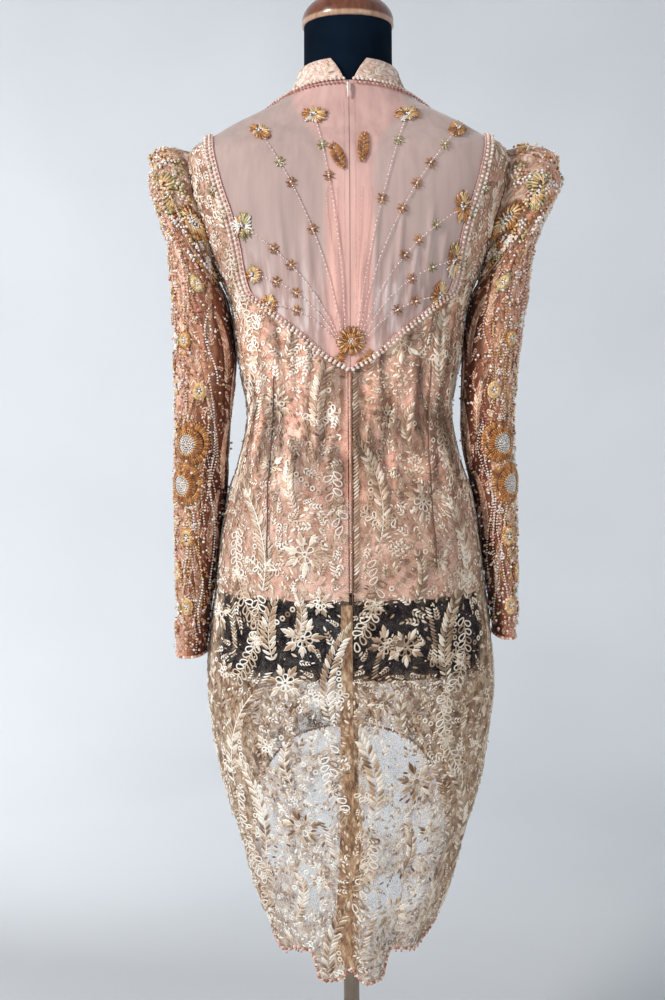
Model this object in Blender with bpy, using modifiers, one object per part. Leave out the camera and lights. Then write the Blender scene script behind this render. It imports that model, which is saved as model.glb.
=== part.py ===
"""A long kebaya blouse in lace and tulle on a limbless dress form.

Units are metres, +Z is up, and the origin is the centre of the stand's base, on the floor. The wearer
faces +Y, so the zipped back looks along -Y and the wearer's left is at -X. Every cloth panel lies on one
figure, whose horizontal sections are in FIGURE. A place on it is an angle and a height: the angle is 0 at
the centre back, 90 degrees at the wearer's right side and 180 degrees at the centre front.
"""

import math
from collections import namedtuple

import bmesh
import bpy
from mathutils import Matrix, Vector

QUARTER_TURN = math.pi / 2
FULL_TURN = 2 * math.pi
SMOOTH_ANGLE = math.radians(40)
SEARCH_STEPS = 40  # halvings in a search for a place, far below a micrometre

# ---------------------------------------------------------------- the figure, in horizontal sections
Section = namedtuple("Section", "height half_width back front")
FIGURE = [
    Section(0.330, 0.0825, 0.0760, 0.0740),
    Section(0.360, 0.0860, 0.0780, 0.0760),
    Section(0.390, 0.0960, 0.0800, 0.0780),
    Section(0.430, 0.1140, 0.0840, 0.0800),
    Section(0.472, 0.1280, 0.0870, 0.0830),
    Section(0.519, 0.1400, 0.0900, 0.0870),
    Section(0.547, 0.1500, 0.0920, 0.0900),
    Section(0.589, 0.1610, 0.0950, 0.0930),
    Section(0.639, 0.1693, 0.0980, 0.0960),
    Section(0.697, 0.1750, 0.1010, 0.0980),
    Section(0.722, 0.1745, 0.1030, 0.0980),
    Section(0.760, 0.1713, 0.1100, 0.1010),
    Section(0.820, 0.1628, 0.1190, 0.1040),
    Section(0.880, 0.1553, 0.1180, 0.1070),
    Section(0.935, 0.1463, 0.1080, 0.1080),
    Section(0.970, 0.1338, 0.0990, 0.1070),
    Section(1.034, 0.1218, 0.0880, 0.1030),
    Section(1.097, 0.1323, 0.0900, 0.1080),
    Section(1.150, 0.1385, 0.0970, 0.1220),
    Section(1.171, 0.1425, 0.1000, 0.1290),
    Section(1.197, 0.1525, 0.1030, 0.1340),
    Section(1.236, 0.1700, 0.1060, 0.1290),
    Section(1.275, 0.1850, 0.1055, 0.1150),
    Section(1.306, 0.1920, 0.1010, 0.0970),
    Section(1.325, 0.1920, 0.0950, 0.0860),
    Section(1.338, 0.1895, 0.0890, 0.0780),
    Section(1.346, 0.1830, 0.0830, 0.0720),
    Section(1.352, 0.1740, 0.0780, 0.0670),
    Section(1.358, 0.1615, 0.0735, 0.0625),
    Section(1.372, 0.1370, 0.0660, 0.0580),
    Section(1.385, 0.1090, 0.0615, 0.0550),
    Section(1.395, 0.0875, 0.0590, 0.0540),
    Section(1.405, 0.0720, 0.0570, 0.0535),
    Section(1.417, 0.0615, 0.0555, 0.0530),
    Section(1.437, 0.0535, 0.0535, 0.0530),
    Section(1.489, 0.0530, 0.0530, 0.0530),
]
SQUARENESS = 0.92  # the power on sine and cosine: 1 gives ellipses, less gives fuller corners

# ---------------------------------------------------------------- armhole, an oval on the figure's side
ARMHOLE_HEIGHT = 1.2755
ARMHOLE_RISE = 0.0685
ARMHOLE_SPREAD = math.radians(20)
ARMHOLE_STEPS = 6
ARMHOLE_HALF_WIDTH = 0.040  # across the oval, measured along the cloth

# Heights of the rings and rows that the torso and the panels over it share, so that layers stay parallel.
BODY_HEIGHTS = [
    0.722, 0.770, 0.820, 0.870, 0.920, 0.965, 1.000, 1.035, 1.083, 1.100, 1.120, 1.147, 1.174,
]
BODY_HEIGHTS += [
    ARMHOLE_HEIGHT - ARMHOLE_RISE * math.cos(math.pi * step / ARMHOLE_STEPS)
    for step in range(ARMHOLE_STEPS + 1)
]
BODY_HEIGHTS += [1.352]
NECK_HEIGHTS = [1.358, 1.365, 1.372, 1.385, 1.395, 1.405, 1.417, 1.437, 1.489]
TORSO_SIDES = 30
TORSO_EASE = 0.0008  # the form lies this far inside the figure, so that the cloth clears it
NORMAL_STEPS = (0.02, 0.002)  # angle and height between the points that a surface normal is taken from

# ---------------------------------------------------------------- layers of cloth over the figure
SEAM_GAP = 0.0003
FACING_LIFT, FACING_THICKNESS = 0.0011, 0.0010
LINING_LIFT, LINING_THICKNESS = 0.0011, 0.0010
LACE_LIFT, LACE_THICKNESS = 0.0026, 0.0010
YOKE_LIFT, YOKE_THICKNESS = 0.0029, 0.0010
SLEEVE_THICKNESS = 0.0012

# ---------------------------------------------------------------- yoke
YOKE_POINT_HEIGHT = 1.083
YOKE_CORNER_HEIGHT = 1.174
SHOULDER_HEIGHT = 1.358
YOKE_ROWS = [0.0, 0.22, 0.42, 0.58, 0.69, 0.76, 0.80, 0.82, 0.8326, 0.88, 0.94, 1.0]
YOKE_COLUMNS = 7
YOKE_OVERLAY = 0.0023  # how far the lace stands back from the yoke, under the beaded edging
EdgePoint = namedtuple("EdgePoint", "height across")
YOKE_EDGE = [
    EdgePoint(1.083, 0.0000),
    EdgePoint(1.090, 0.0130),
    EdgePoint(1.105, 0.0355),
    EdgePoint(1.127, 0.0590),
    EdgePoint(1.144, 0.0805),
    EdgePoint(1.163, 0.1030),
    EdgePoint(1.174, 0.1165),
    EdgePoint(1.197, 0.1235),
    EdgePoint(1.227, 0.1285),
    EdgePoint(1.261, 0.1370),
    EdgePoint(1.296, 0.1490),
    EdgePoint(1.325, 0.1570),
    EdgePoint(1.358, 0.1640),
]

# ---------------------------------------------------------------- collar
COLLAR_BASE, COLLAR_BASE_TILT = 1.3945, 0.0200
COLLAR_TOP, COLLAR_TOP_TILT = 1.4340, 0.0060
COLLAR_SPLIT_BASE, COLLAR_SPLIT_TOP = math.radians(4), math.radians(19)
COLLAR_LIFT, COLLAR_STAND = 0.0026, 0.0022
COLLAR_COLUMNS, COLLAR_ROWS = 30, 2

# ---------------------------------------------------------------- lace skirt
LINING_HEM = 0.820
SKIRT_HEIGHTS = [0.690, 0.655]
SKIRT_ROWS = 6
HemPoint = namedtuple("HemPoint", "angle height")
HEM = [
    HemPoint(0.0, 0.3680),
    HemPoint(9.0, 0.3510),
    HemPoint(20.0, 0.3485),
    HemPoint(25.0, 0.3530),
    HemPoint(28.0, 0.3880),
    HemPoint(46.0, 0.3840),
    HemPoint(60.0, 0.3745),
    HemPoint(75.0, 0.4000),
    HemPoint(90.0, 0.4330),
    HemPoint(112.0, 0.4900),
    HemPoint(135.0, 0.5600),
    HemPoint(158.0, 0.6070),
    HemPoint(180.0, 0.6200),
]
FRONT_COLUMNS = [0.0, 0.16, 0.32, 0.48, 0.62, 0.76, 0.88, 1.0]
FOLD_TOP, FOLD_BOTTOM = 0.715, 0.380
FOLD_COUNT, FOLD_DEPTH, FOLD_PHASE = 10, 0.0035, 0.6
CENTRE_FOLD_ANGLE, CENTRE_FOLD_WIDTH, CENTRE_FOLD_DEPTH = math.radians(9), math.radians(6), 0.006

# ---------------------------------------------------------------- sleeves
# Each ring runs from its inner end, next to the body, to its outer end; depth is half its width along Y.
# Both tables are written as for +X. The right arm's head stands out farther, and its cuff hangs closer in.
SleeveRing = namedtuple("SleeveRing", "inner_x inner_z outer_x outer_z depth centre_y gather")
LEFT_SLEEVE = [
    SleeveRing(0.1785, 0.7410, 0.2155, 0.7400, 0.0400, -0.004, 0.0),
    SleeveRing(0.1708, 0.8000, 0.2125, 0.8000, 0.0420, -0.003, 0.0),
    SleeveRing(0.1632, 0.8600, 0.2130, 0.8600, 0.0440, -0.002, 0.0),
    SleeveRing(0.1520, 0.9350, 0.2135, 0.9350, 0.0460, 0.000, 0.0),
    SleeveRing(0.1465, 1.0150, 0.2115, 1.0150, 0.0480, 0.000, 0.0),
    SleeveRing(0.1380, 1.0950, 0.2110, 1.0950, 0.0500, 0.000, 0.0),
    SleeveRing(0.1478, 1.1680, 0.2125, 1.1720, 0.0510, 0.000, 0.0),
    SleeveRing(0.1565, 1.1880, 0.2160, 1.2300, 0.0520, 0.000, 0.3),
    SleeveRing(0.1600, 1.1960, 0.2290, 1.2800, 0.0530, 0.000, 0.7),
    SleeveRing(0.1615, 1.2000, 0.2370, 1.3060, 0.0520, 0.000, 1.0),
    SleeveRing(0.1625, 1.2025, 0.2310, 1.3225, 0.0490, 0.000, 1.0),
    SleeveRing(0.1630, 1.2045, 0.2340, 1.3370, 0.0490, 0.000, 0.8),
    SleeveRing(0.1635, 1.2060, 0.2170, 1.3475, 0.0470, 0.000, 0.5),
    SleeveRing(0.1625, 1.2070, 0.2030, 1.3470, 0.0440, 0.000, 0.2),
]
RIGHT_SLEEVE = [
    SleeveRing(0.1768, 0.7630, 0.2035, 0.7620, 0.0400, -0.008, 0.0),
    SleeveRing(0.1692, 0.8150, 0.2035, 0.8150, 0.0420, -0.006, 0.0),
    SleeveRing(0.1622, 0.8700, 0.2030, 0.8700, 0.0440, -0.004, 0.0),
    SleeveRing(0.1505, 0.9400, 0.2025, 0.9400, 0.0460, 0.000, 0.0),
    SleeveRing(0.1370, 1.0150, 0.1985, 1.0150, 0.0480, 0.000, 0.0),
    SleeveRing(0.1378, 1.0950, 0.2035, 1.0950, 0.0500, 0.000, 0.0),
    SleeveRing(0.1478, 1.1680, 0.2135, 1.1720, 0.0510, 0.000, 0.0),
    SleeveRing(0.1565, 1.1880, 0.2215, 1.2300, 0.0520, 0.000, 0.3),
    SleeveRing(0.1600, 1.1960, 0.2410, 1.2800, 0.0530, 0.000, 0.7),
    SleeveRing(0.1615, 1.2000, 0.2530, 1.3060, 0.0520, 0.000, 1.0),
    SleeveRing(0.1625, 1.2025, 0.2460, 1.3225, 0.0490, 0.000, 1.0),
    SleeveRing(0.1630, 1.2045, 0.2460, 1.3370, 0.0490, 0.000, 0.8),
    SleeveRing(0.1635, 1.2060, 0.2240, 1.3475, 0.0470, 0.000, 0.5),
    SleeveRing(0.1625, 1.2070, 0.2060, 1.3470, 0.0440, 0.000, 0.2),
]
SLEEVE_RINGS = {-1: LEFT_SLEEVE, 1: RIGHT_SLEEVE}
STRAIGHT_ROWS = 6  # up to this ring the sleeve's rows rise evenly
SLEEVE_SIDES = 24
GATHER_COUNT, GATHER_DEPTH = 6, 0.0028
GATHER_REACH = 0.8  # how sharply the gathers stop toward the inner side of the arm
ARMHOLE_CLEARANCE = 0.0006

# ---------------------------------------------------------------- beaded edgings and medallions
EDGING_RADIUS = 0.0019
EDGING_LIFT, COLLAR_EDGING_LIFT = 0.0070, 0.0063
EDGING_CLEARANCE = 0.0005
EDGING_SIDES_RESOLUTION = 1
EDGING_MITRE_LIMIT = 0.6
YOKE_EDGING_TOP = 1.357
COLLAR_EDGING_STEPS, CUFF_EDGING_STEPS = 28, 16
MEDALLION_RADIUS, MEDALLION_THICKNESS, MEDALLION_LIFT = 0.020, 0.0022, 0.0008
MEDALLION_SPOKES = 12
Medallion = namedtuple("Medallion", "name height around")
MEDALLIONS = [
    Medallion("upper", 0.997, math.radians(68)),
    Medallion("lower", 0.948, math.radians(58)),
]

# ---------------------------------------------------------------- zip
ZIP_TOP, ZIP_BOTTOM = 1.4080, 0.8300
ZIP_CHAIN_WIDTH, ZIP_CHAIN_THICKNESS = 0.0040, 0.0009
FACING_WIDTH, FACING_LEAST_WIDTH = 0.0270, 0.0020
FACING_COLUMNS = 2
CENTRE_GAP = 0.0008
SLIDER_WIDTH, SLIDER_LENGTH, SLIDER_THICKNESS = 0.0046, 0.0090, 0.0020
SLIDER_TOP = 1.4110
SLIDER_LIFT = YOKE_LIFT + YOKE_THICKNESS + 3 * SEAM_GAP
TAB_WIDTH, TAB_LENGTH, TAB_THICKNESS = 0.0036, 0.0150, 0.0010
TAB_TOP = 1.4075
TAB_HINGE_DROP = 0.0005  # from the tab's upper end down to its hinge
SLIDER_ROUNDING, TAB_ROUNDING = 0.0006, 0.0003

# ---------------------------------------------------------------- dress form's hard parts
CAP_RADIUS, CAP_RIM_HEIGHT, CAP_HEIGHT = 0.0545, 0.0060, 0.0390
CAP_DOME_STEPS = 6
POLE_RADIUS = 0.0100
TurnedPoint = namedtuple("TurnedPoint", "radius height")
BASE_PROFILE = [
    TurnedPoint(0.0000, 0.0340),
    TurnedPoint(0.0202, 0.0340),
    TurnedPoint(0.0220, 0.0320),
    TurnedPoint(0.0220, 0.0220),
    TurnedPoint(0.0330, 0.0200),
    TurnedPoint(0.1050, 0.0172),
    TurnedPoint(0.1575, 0.0108),
    TurnedPoint(0.1724, 0.0080),
    TurnedPoint(0.1750, 0.0048),
    TurnedPoint(0.1750, 0.0000),
    TurnedPoint(0.0000, 0.0000),
]
BASE_BOSS_HEIGHT = BASE_PROFILE[0].height
TURNED_STEPS = 28
POLE_SIDES = 24


# ================================================================ small tools
def interpolate(rows, position, column):
    """The value of a table's column at a position along its first column, on a smooth monotone curve."""
    places = [row[0] for row in rows]
    values = [row[column] for row in rows]
    if position <= places[0]:
        return values[0]
    if position >= places[-1]:
        return values[-1]
    low = max(i for i in range(len(places) - 1) if places[i] <= position)

    def slope(i):
        return (values[i + 1] - values[i]) / (places[i + 1] - places[i])

    def tangent(i):
        if i == 0:
            return slope(0)
        if i == len(places) - 1:
            return slope(i - 1)
        before, after = slope(i - 1), slope(i)
        if before * after <= 0:
            return 0.0
        return 2 * before * after / (before + after)

    span = places[low + 1] - places[low]
    t = (position - places[low]) / span
    start, end = values[low], values[low + 1]
    return (
        start * (1 + 2 * t) * (1 - t) ** 2
        + end * t * t * (3 - 2 * t)
        + tangent(low) * span * t * (1 - t) ** 2
        - tangent(low + 1) * span * t * t * (1 - t)
    )


def blend(start, end, share):
    return start + (end - start) * share


def smooth_step(share):
    share = min(1.0, max(0.0, share))
    return share * share * (3 - 2 * share)


def signed_power(value, power):
    return math.copysign(abs(value) ** power, value)


# ================================================================ the figure's surface
def skirt_fold(angle, height):
    """How far the free lace below the form swings out or in: soft upright folds, deepest at the hem."""
    depth = smooth_step((FOLD_TOP - height) / (FOLD_TOP - FOLD_BOTTOM))
    waves = FOLD_DEPTH * math.sin(FOLD_COUNT * angle + FOLD_PHASE)
    from_fold = (math.remainder(angle - CENTRE_FOLD_ANGLE, FULL_TURN)) / CENTRE_FOLD_WIDTH
    centre_fold = CENTRE_FOLD_DEPTH * math.exp(-from_fold * from_fold)
    return depth * (waves + centre_fold)


def figure_surface(angle, height):
    half_width = interpolate(FIGURE, height, 1)
    depth = interpolate(FIGURE, height, 2 if math.cos(angle) > 0 else 3)
    out = skirt_fold(angle, height)
    return Vector((
        (half_width + out) * signed_power(math.sin(angle), SQUARENESS),
        -(depth + out) * signed_power(math.cos(angle), SQUARENESS),
        height,
    ))


def figure_normal(angle, height):
    angle_step, height_step = NORMAL_STEPS
    across = figure_surface(angle + angle_step, height) - figure_surface(angle - angle_step, height)
    upward = figure_surface(angle, height + height_step) - figure_surface(angle, height - height_step)
    return across.cross(upward).normalized()


def figure_point(angle, height, lift=0.0):
    """A point of the figure, moved out by lift along the surface's normal."""
    return figure_surface(angle, height) + figure_normal(angle, height) * lift


def angle_at(across, height):
    """The angle on the back at which the figure is this far from its centre line."""
    share = min(1.0, across / interpolate(FIGURE, height, 1))
    return math.asin(share ** (1 / SQUARENESS))


def seam_angle(height, gap=SEAM_GAP):
    """Half a seam's gap, as an angle on the figure at this height."""
    return 0.5 * gap / interpolate(FIGURE, height, 1)


# ================================================================ edges of the cut pieces
def yoke_edge_angle(height):
    """The angle of the yoke's edge: the V below the corner, then the side line up to the shoulder."""
    if height >= SHOULDER_HEIGHT:
        return QUARTER_TURN
    return angle_at(interpolate(YOKE_EDGE, height, 1), height)


def yoke_v_height(angle):
    """The height of the V at an angle between the centre and the corner."""
    low, high = YOKE_POINT_HEIGHT, YOKE_CORNER_HEIGHT
    for _ in range(SEARCH_STEPS):
        middle = (low + high) / 2
        if yoke_edge_angle(middle) < angle:
            low = middle
        else:
            high = middle
    return low


def armhole_point(around):
    """Angle and height of the armhole at a turn about it: 0 at the shoulder, a quarter turn at its back.

    The armhole is cut along straight stretches between the rows of the panels that it is cut from.
    """
    step_turn = math.pi / ARMHOLE_STEPS
    step = math.floor(around / step_turn)

    def corner(turn):
        return (
            QUARTER_TURN - ARMHOLE_SPREAD * math.sin(turn),
            ARMHOLE_HEIGHT + ARMHOLE_RISE * math.cos(turn),
        )

    share = around / step_turn - step
    start, end = corner(step * step_turn), corner((step + 1) * step_turn)
    return blend(start[0], end[0], share), blend(start[1], end[1], share)


def side_angle(height):
    """The outer edge of a lace or lining panel: the side seam, the armhole, then the shoulder seam."""
    rise = (height - ARMHOLE_HEIGHT) / ARMHOLE_RISE
    if abs(rise) >= 1:
        return QUARTER_TURN
    return QUARTER_TURN - ARMHOLE_SPREAD * math.sqrt(1 - rise * rise)


def collar_base_height(angle):
    return COLLAR_BASE + COLLAR_BASE_TILT * math.cos(angle)


def collar_top_height(angle):
    return COLLAR_TOP + COLLAR_TOP_TILT * math.cos(angle)


def hem_height(angle):
    degrees = abs(math.degrees(math.remainder(angle, FULL_TURN)))
    return interpolate(HEM, degrees, 1)


# ================================================================ making objects
def new_collection(name):
    collection = bpy.data.collections.new(name)
    bpy.context.scene.collection.children.link(collection)
    return collection


def make_material(name, colour, roughness, metallic=0.0):
    material = bpy.data.materials.new(name)
    material.use_nodes = True
    shader = material.node_tree.nodes["Principled BSDF"]
    shader.inputs["Base Color"].default_value = (*colour, 1.0)
    shader.inputs["Roughness"].default_value = roughness
    shader.inputs["Metallic"].default_value = metallic
    return material


def add_object(name, data, material, collection):
    made = bpy.data.objects.new(name, data)
    data.materials.append(material)
    collection.objects.link(made)
    return made


def add_bmesh(name, mesh_tool, material, collection):
    mesh = bpy.data.meshes.new(name)
    mesh_tool.to_mesh(mesh)
    mesh_tool.free()
    mesh.shade_smooth()
    mesh.set_sharp_from_angle(angle=SMOOTH_ANGLE)
    return add_object(name, mesh, material, collection)


def move_to_collection(made, collection):
    for owner in list(made.users_collection):
        owner.objects.unlink(made)
    collection.objects.link(made)


def grid_surface(columns, rows, place, wrapped=False):
    """An open surface: a grid whose vertices are put where place(column, row) says."""
    surface = bmesh.new()
    bmesh.ops.create_grid(surface, x_segments=columns, y_segments=rows, size=0.5)
    for vertex in surface.verts:
        column = round((vertex.co.x + 0.5) * columns)
        row = round((vertex.co.y + 0.5) * rows)
        vertex.co = place(column % columns if wrapped else column, row)
    if wrapped:
        bmesh.ops.remove_doubles(surface, verts=surface.verts, dist=0.00001)
    bmesh.ops.triangulate(surface, faces=surface.faces, quad_method="SHORT_EDGE")
    return surface


def add_thickness(made, thickness, offset=1.0):
    solidify = made.modifiers.new("Wall", "SOLIDIFY")
    solidify.thickness = thickness
    solidify.offset = offset
    solidify.use_even_offset = True
    solidify.use_quality_normals = True
    return made


def cloth_panel(name, columns, rows, place, thickness, material, collection, wrapped=False, offset=1.0):
    surface = grid_surface(columns, rows, place, wrapped)
    made = add_bmesh(name, surface, material, collection)
    return add_thickness(made, thickness, offset)


def turned_part(name, profile, material, collection):
    """A solid of revolution about the upright axis, from (radius, height) pairs, top to bottom."""
    mesh = bpy.data.meshes.new(name)
    vertices = [(radius, 0.0, height) for radius, height in profile]
    edges = [(i, i + 1) for i in range(len(profile) - 1)]
    mesh.from_pydata(vertices, edges, [])
    made = add_object(name, mesh, material, collection)
    screw = made.modifiers.new("Turn", "SCREW")
    screw.axis = "Z"
    screw.steps = TURNED_STEPS
    screw.render_steps = TURNED_STEPS
    screw.use_merge_vertices = True
    screw.merge_threshold = 0.00001
    screw.use_smooth_shade = True
    return made


def edging(name, points, material, collection, closed=False):
    """A beaded cord sewn along an edge, as a round bar through its points."""
    curve = bpy.data.curves.new(name, "CURVE")
    curve.dimensions = "3D"
    curve.bevel_depth = EDGING_RADIUS
    curve.bevel_resolution = EDGING_SIDES_RESOLUTION
    curve.use_fill_caps = not closed
    spline = curve.splines.new("POLY")
    spline.points.add(len(points) - 1)
    spline.use_cyclic_u = closed
    for spline_point, place in zip(spline.points, points):
        spline_point.co = (*place, 1.0)
    return add_object(name, curve, material, collection)


# ================================================================ dress form
def torso(material, collection):
    heights = BODY_HEIGHTS + NECK_HEIGHTS
    rows = len(heights) - 1

    def place(column, row):
        return figure_point(FULL_TURN * column / TORSO_SIDES, heights[row], -TORSO_EASE)

    surface = grid_surface(TORSO_SIDES, rows, place, wrapped=True)
    open_edges = [edge for edge in surface.edges if edge.is_boundary]
    bmesh.ops.holes_fill(surface, edges=open_edges, sides=0)
    return add_bmesh("dress_form_torso", surface, material, collection)


def neck_cap(material, collection):
    """The turned wooden cap: a short upright rim under a low dome, on the neck's flat top."""
    bottom = NECK_HEIGHTS[-1] + SEAM_GAP
    dome_height = CAP_HEIGHT - CAP_RIM_HEIGHT
    profile = []
    for step in range(CAP_DOME_STEPS + 1):
        turn = QUARTER_TURN * step / CAP_DOME_STEPS
        profile.append((
            CAP_RADIUS * math.sin(turn),
            bottom + CAP_RIM_HEIGHT + dome_height * math.cos(turn),
        ))
    profile.append((CAP_RADIUS, bottom))
    profile.append((0.0, bottom))
    return turned_part("dress_form_neck_cap", profile, material, collection)


def pole(material, collection):
    bottom = BASE_BOSS_HEIGHT + SEAM_GAP
    top = BODY_HEIGHTS[0] - SEAM_GAP
    bpy.ops.mesh.primitive_cylinder_add(
        vertices=POLE_SIDES, radius=POLE_RADIUS, depth=top - bottom, location=(0, 0, (top + bottom) / 2)
    )
    made = bpy.context.object
    made.name = "dress_form_pole"
    made.data.materials.append(material)
    made.data.shade_smooth()
    made.data.set_sharp_from_angle(angle=SMOOTH_ANGLE)
    move_to_collection(made, collection)
    return made


def base(material, collection):
    """A round weighted base: a flat underside, a low domed top and a boss that holds the pole."""
    return turned_part("dress_form_base", BASE_PROFILE, material, collection)


# ================================================================ cloth panels
def column_shares(face):
    """Column positions from the centre line to the side; on the back the hem's corners are among them."""
    if face == "front":
        return FRONT_COLUMNS
    return [point.angle / 90 for point in HEM if point.angle <= 90]


def panel_heights(bottom_height):
    return [height for height in BODY_HEIGHTS if height >= bottom_height]


def panel_span(height, centre_gap):
    """The inner and outer angles of a half panel at a height, each half a seam in from its edge."""
    gap = seam_angle(height)
    inner = seam_angle(height, centre_gap)
    if height > YOKE_POINT_HEIGHT:
        inner = max(inner, yoke_edge_angle(height) + seam_angle(height, 2 * YOKE_OVERLAY))
    return inner, side_angle(height) - gap


def to_face(angle, face, side):
    """Turn an angle measured from the centre line into the figure's, for a face and a side."""
    return side * (angle if face == "back" else math.pi - angle)


def half_panel(name, face, side, row_heights, centre_gap, lift, thickness, material, collection):
    """A front or back panel of one side; row_heights gives each row's height as a function of the angle."""
    shares = column_shares(face)
    columns, rows = len(shares) - 1, len(row_heights) - 1
    left_to_right = (side > 0) == (face == "back")

    def place(column, row):
        share = shares[column] if left_to_right else shares[columns - column]
        inner, outer = panel_span(row_heights[row](QUARTER_TURN), centre_gap)
        from_centre = blend(inner, outer, share)
        angle = to_face(from_centre, face, side)
        return figure_point(angle, row_heights[row](angle), lift)

    return cloth_panel(name, columns, rows, place, thickness, material, collection)


def level_row(height):
    return lambda angle: height


def hem_row(share, top):
    return lambda angle: blend(hem_height(angle), top, share)


def lace_panel(face, side, material, collection):
    skirt_top = SKIRT_HEIGHTS[-1]
    rows = [hem_row(step / SKIRT_ROWS, skirt_top) for step in range(SKIRT_ROWS)]
    rows += [level_row(height) for height in reversed(SKIRT_HEIGHTS)]
    rows += [level_row(height) for height in BODY_HEIGHTS]
    name = "lace_%s_%s" % (face, "right" if side > 0 else "left")
    return half_panel(
        name, face, side, rows, CENTRE_GAP, LACE_LIFT, LACE_THICKNESS, material, collection
    )


def lining_panel(face, side, material, collection):
    rows = [level_row(height) for height in panel_heights(LINING_HEM)]
    name = "lining_%s_%s" % (face, "right" if side > 0 else "left")
    centre_gap = ZIP_CHAIN_WIDTH + 2 * SEAM_GAP if face == "back" else CENTRE_GAP
    return half_panel(
        name, face, side, rows, centre_gap, LINING_LIFT, LINING_THICKNESS, material, collection
    )


def yoke_place(side, from_centre, share, face):
    """A point of one side of the yoke: from the centre, 0, to its edge, 1; from the V, 0, to its top, 1."""
    corner_angle = yoke_edge_angle(YOKE_CORNER_HEIGHT)
    bottom = yoke_v_height(from_centre * corner_angle) + 2 * SEAM_GAP
    top_angle = to_face(from_centre * QUARTER_TURN, face, side)
    top = collar_base_height(top_angle) - SEAM_GAP
    height = blend(bottom, top, share)
    widest = corner_angle if height <= YOKE_CORNER_HEIGHT else yoke_edge_angle(height)
    angle = from_centre * (widest - seam_angle(height))
    if face == "back":
        angle = max(angle, seam_angle(height, CENTRE_GAP))
    return figure_point(to_face(angle, face, side), height, YOKE_LIFT)


def yoke_back(side, material, collection):
    name = "yoke_back_%s" % ("right" if side > 0 else "left")

    def place(column, row):
        from_centre = column / YOKE_COLUMNS if side > 0 else 1 - column / YOKE_COLUMNS
        return yoke_place(side, from_centre, YOKE_ROWS[row], "back")

    rows = len(YOKE_ROWS) - 1
    return cloth_panel(name, YOKE_COLUMNS, rows, place, YOKE_THICKNESS, material, collection)


def yoke_front(material, collection):
    columns = 2 * YOKE_COLUMNS

    def place(column, row):
        side = 1 if column < YOKE_COLUMNS else -1
        return yoke_place(side, abs(1 - column / YOKE_COLUMNS), YOKE_ROWS[row], "front")

    rows = len(YOKE_ROWS) - 1
    return cloth_panel("yoke_front", columns, rows, place, YOKE_THICKNESS, material, collection)


def collar(material, collection):
    def place(column, row):
        rise = row / COLLAR_ROWS
        split = blend(COLLAR_SPLIT_BASE, COLLAR_SPLIT_TOP, rise)
        angle = blend(split, FULL_TURN - split, column / COLLAR_COLUMNS)
        base_height = collar_base_height(angle) + SEAM_GAP
        height = blend(base_height, collar_top_height(angle), rise)
        return figure_point(angle, height, COLLAR_LIFT + COLLAR_STAND * rise)

    return cloth_panel("collar", COLLAR_COLUMNS, COLLAR_ROWS, place, LACE_THICKNESS, material, collection)


# ================================================================ sleeves
def ring_point(ring, around):
    """A point of a sleeve's ring; around is 0 at its outer end and half a turn at its inner end."""
    inner = Vector((ring.inner_x, 0.0, ring.inner_z))
    outer = Vector((ring.outer_x, 0.0, ring.outer_z))
    middle, half = (inner + outer) / 2, (outer - inner) / 2
    toward_outside = smooth_step(0.5 + GATHER_REACH * math.cos(around))
    gather = ring.gather * toward_outside * GATHER_DEPTH * math.cos(GATHER_COUNT * around)
    sideways = (ring.depth + gather) * signed_power(math.sin(around), SQUARENESS)
    along = half * (1 + gather / half.length) * signed_power(math.cos(around), SQUARENESS)
    return middle + along + Vector((0.0, ring.centre_y - sideways, 0.0))


def armhole_ring_point(around):
    """The sleeve's seam, just inside the armhole's edge."""
    angle, height = armhole_point(around)
    angle = QUARTER_TURN + (angle - QUARTER_TURN) * (1 - ARMHOLE_CLEARANCE / ARMHOLE_HALF_WIDTH)
    height = ARMHOLE_HEIGHT + (height - ARMHOLE_HEIGHT) * (1 - ARMHOLE_CLEARANCE / ARMHOLE_RISE)
    return figure_point(angle, height, LACE_LIFT + LACE_THICKNESS / 2)


def sleeve_point(side, row, around):
    """A point of a sleeve, as for +X; row may fall between two rings."""
    rings = SLEEVE_RINGS[side]
    last = len(rings)
    low = min(int(row), last - 1)
    share = row - low

    def on_ring(index):
        if index >= last:
            return armhole_ring_point(around)
        return ring_point(rings[index], around)

    return on_ring(low).lerp(on_ring(low + 1), share)


def sleeve(side, material, collection):
    name = "sleeve_%s" % ("right" if side > 0 else "left")

    def place(column, row):
        around = -side * FULL_TURN * column / SLEEVE_SIDES
        point = sleeve_point(side, row, around)
        return Vector((side * point.x, point.y, point.z))

    return cloth_panel(
        name, SLEEVE_SIDES, len(SLEEVE_RINGS[side]), place, SLEEVE_THICKNESS, material, collection,
        wrapped=True, offset=-1.0,
    )


def sleeve_row_at(side, height, around):
    """The row of the sleeve at which the line at this turn reaches a height."""
    low, high = 0.0, float(STRAIGHT_ROWS)
    for _ in range(SEARCH_STEPS):
        middle = (low + high) / 2
        if sleeve_point(side, middle, around).z < height:
            low = middle
        else:
            high = middle
    return low


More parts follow.
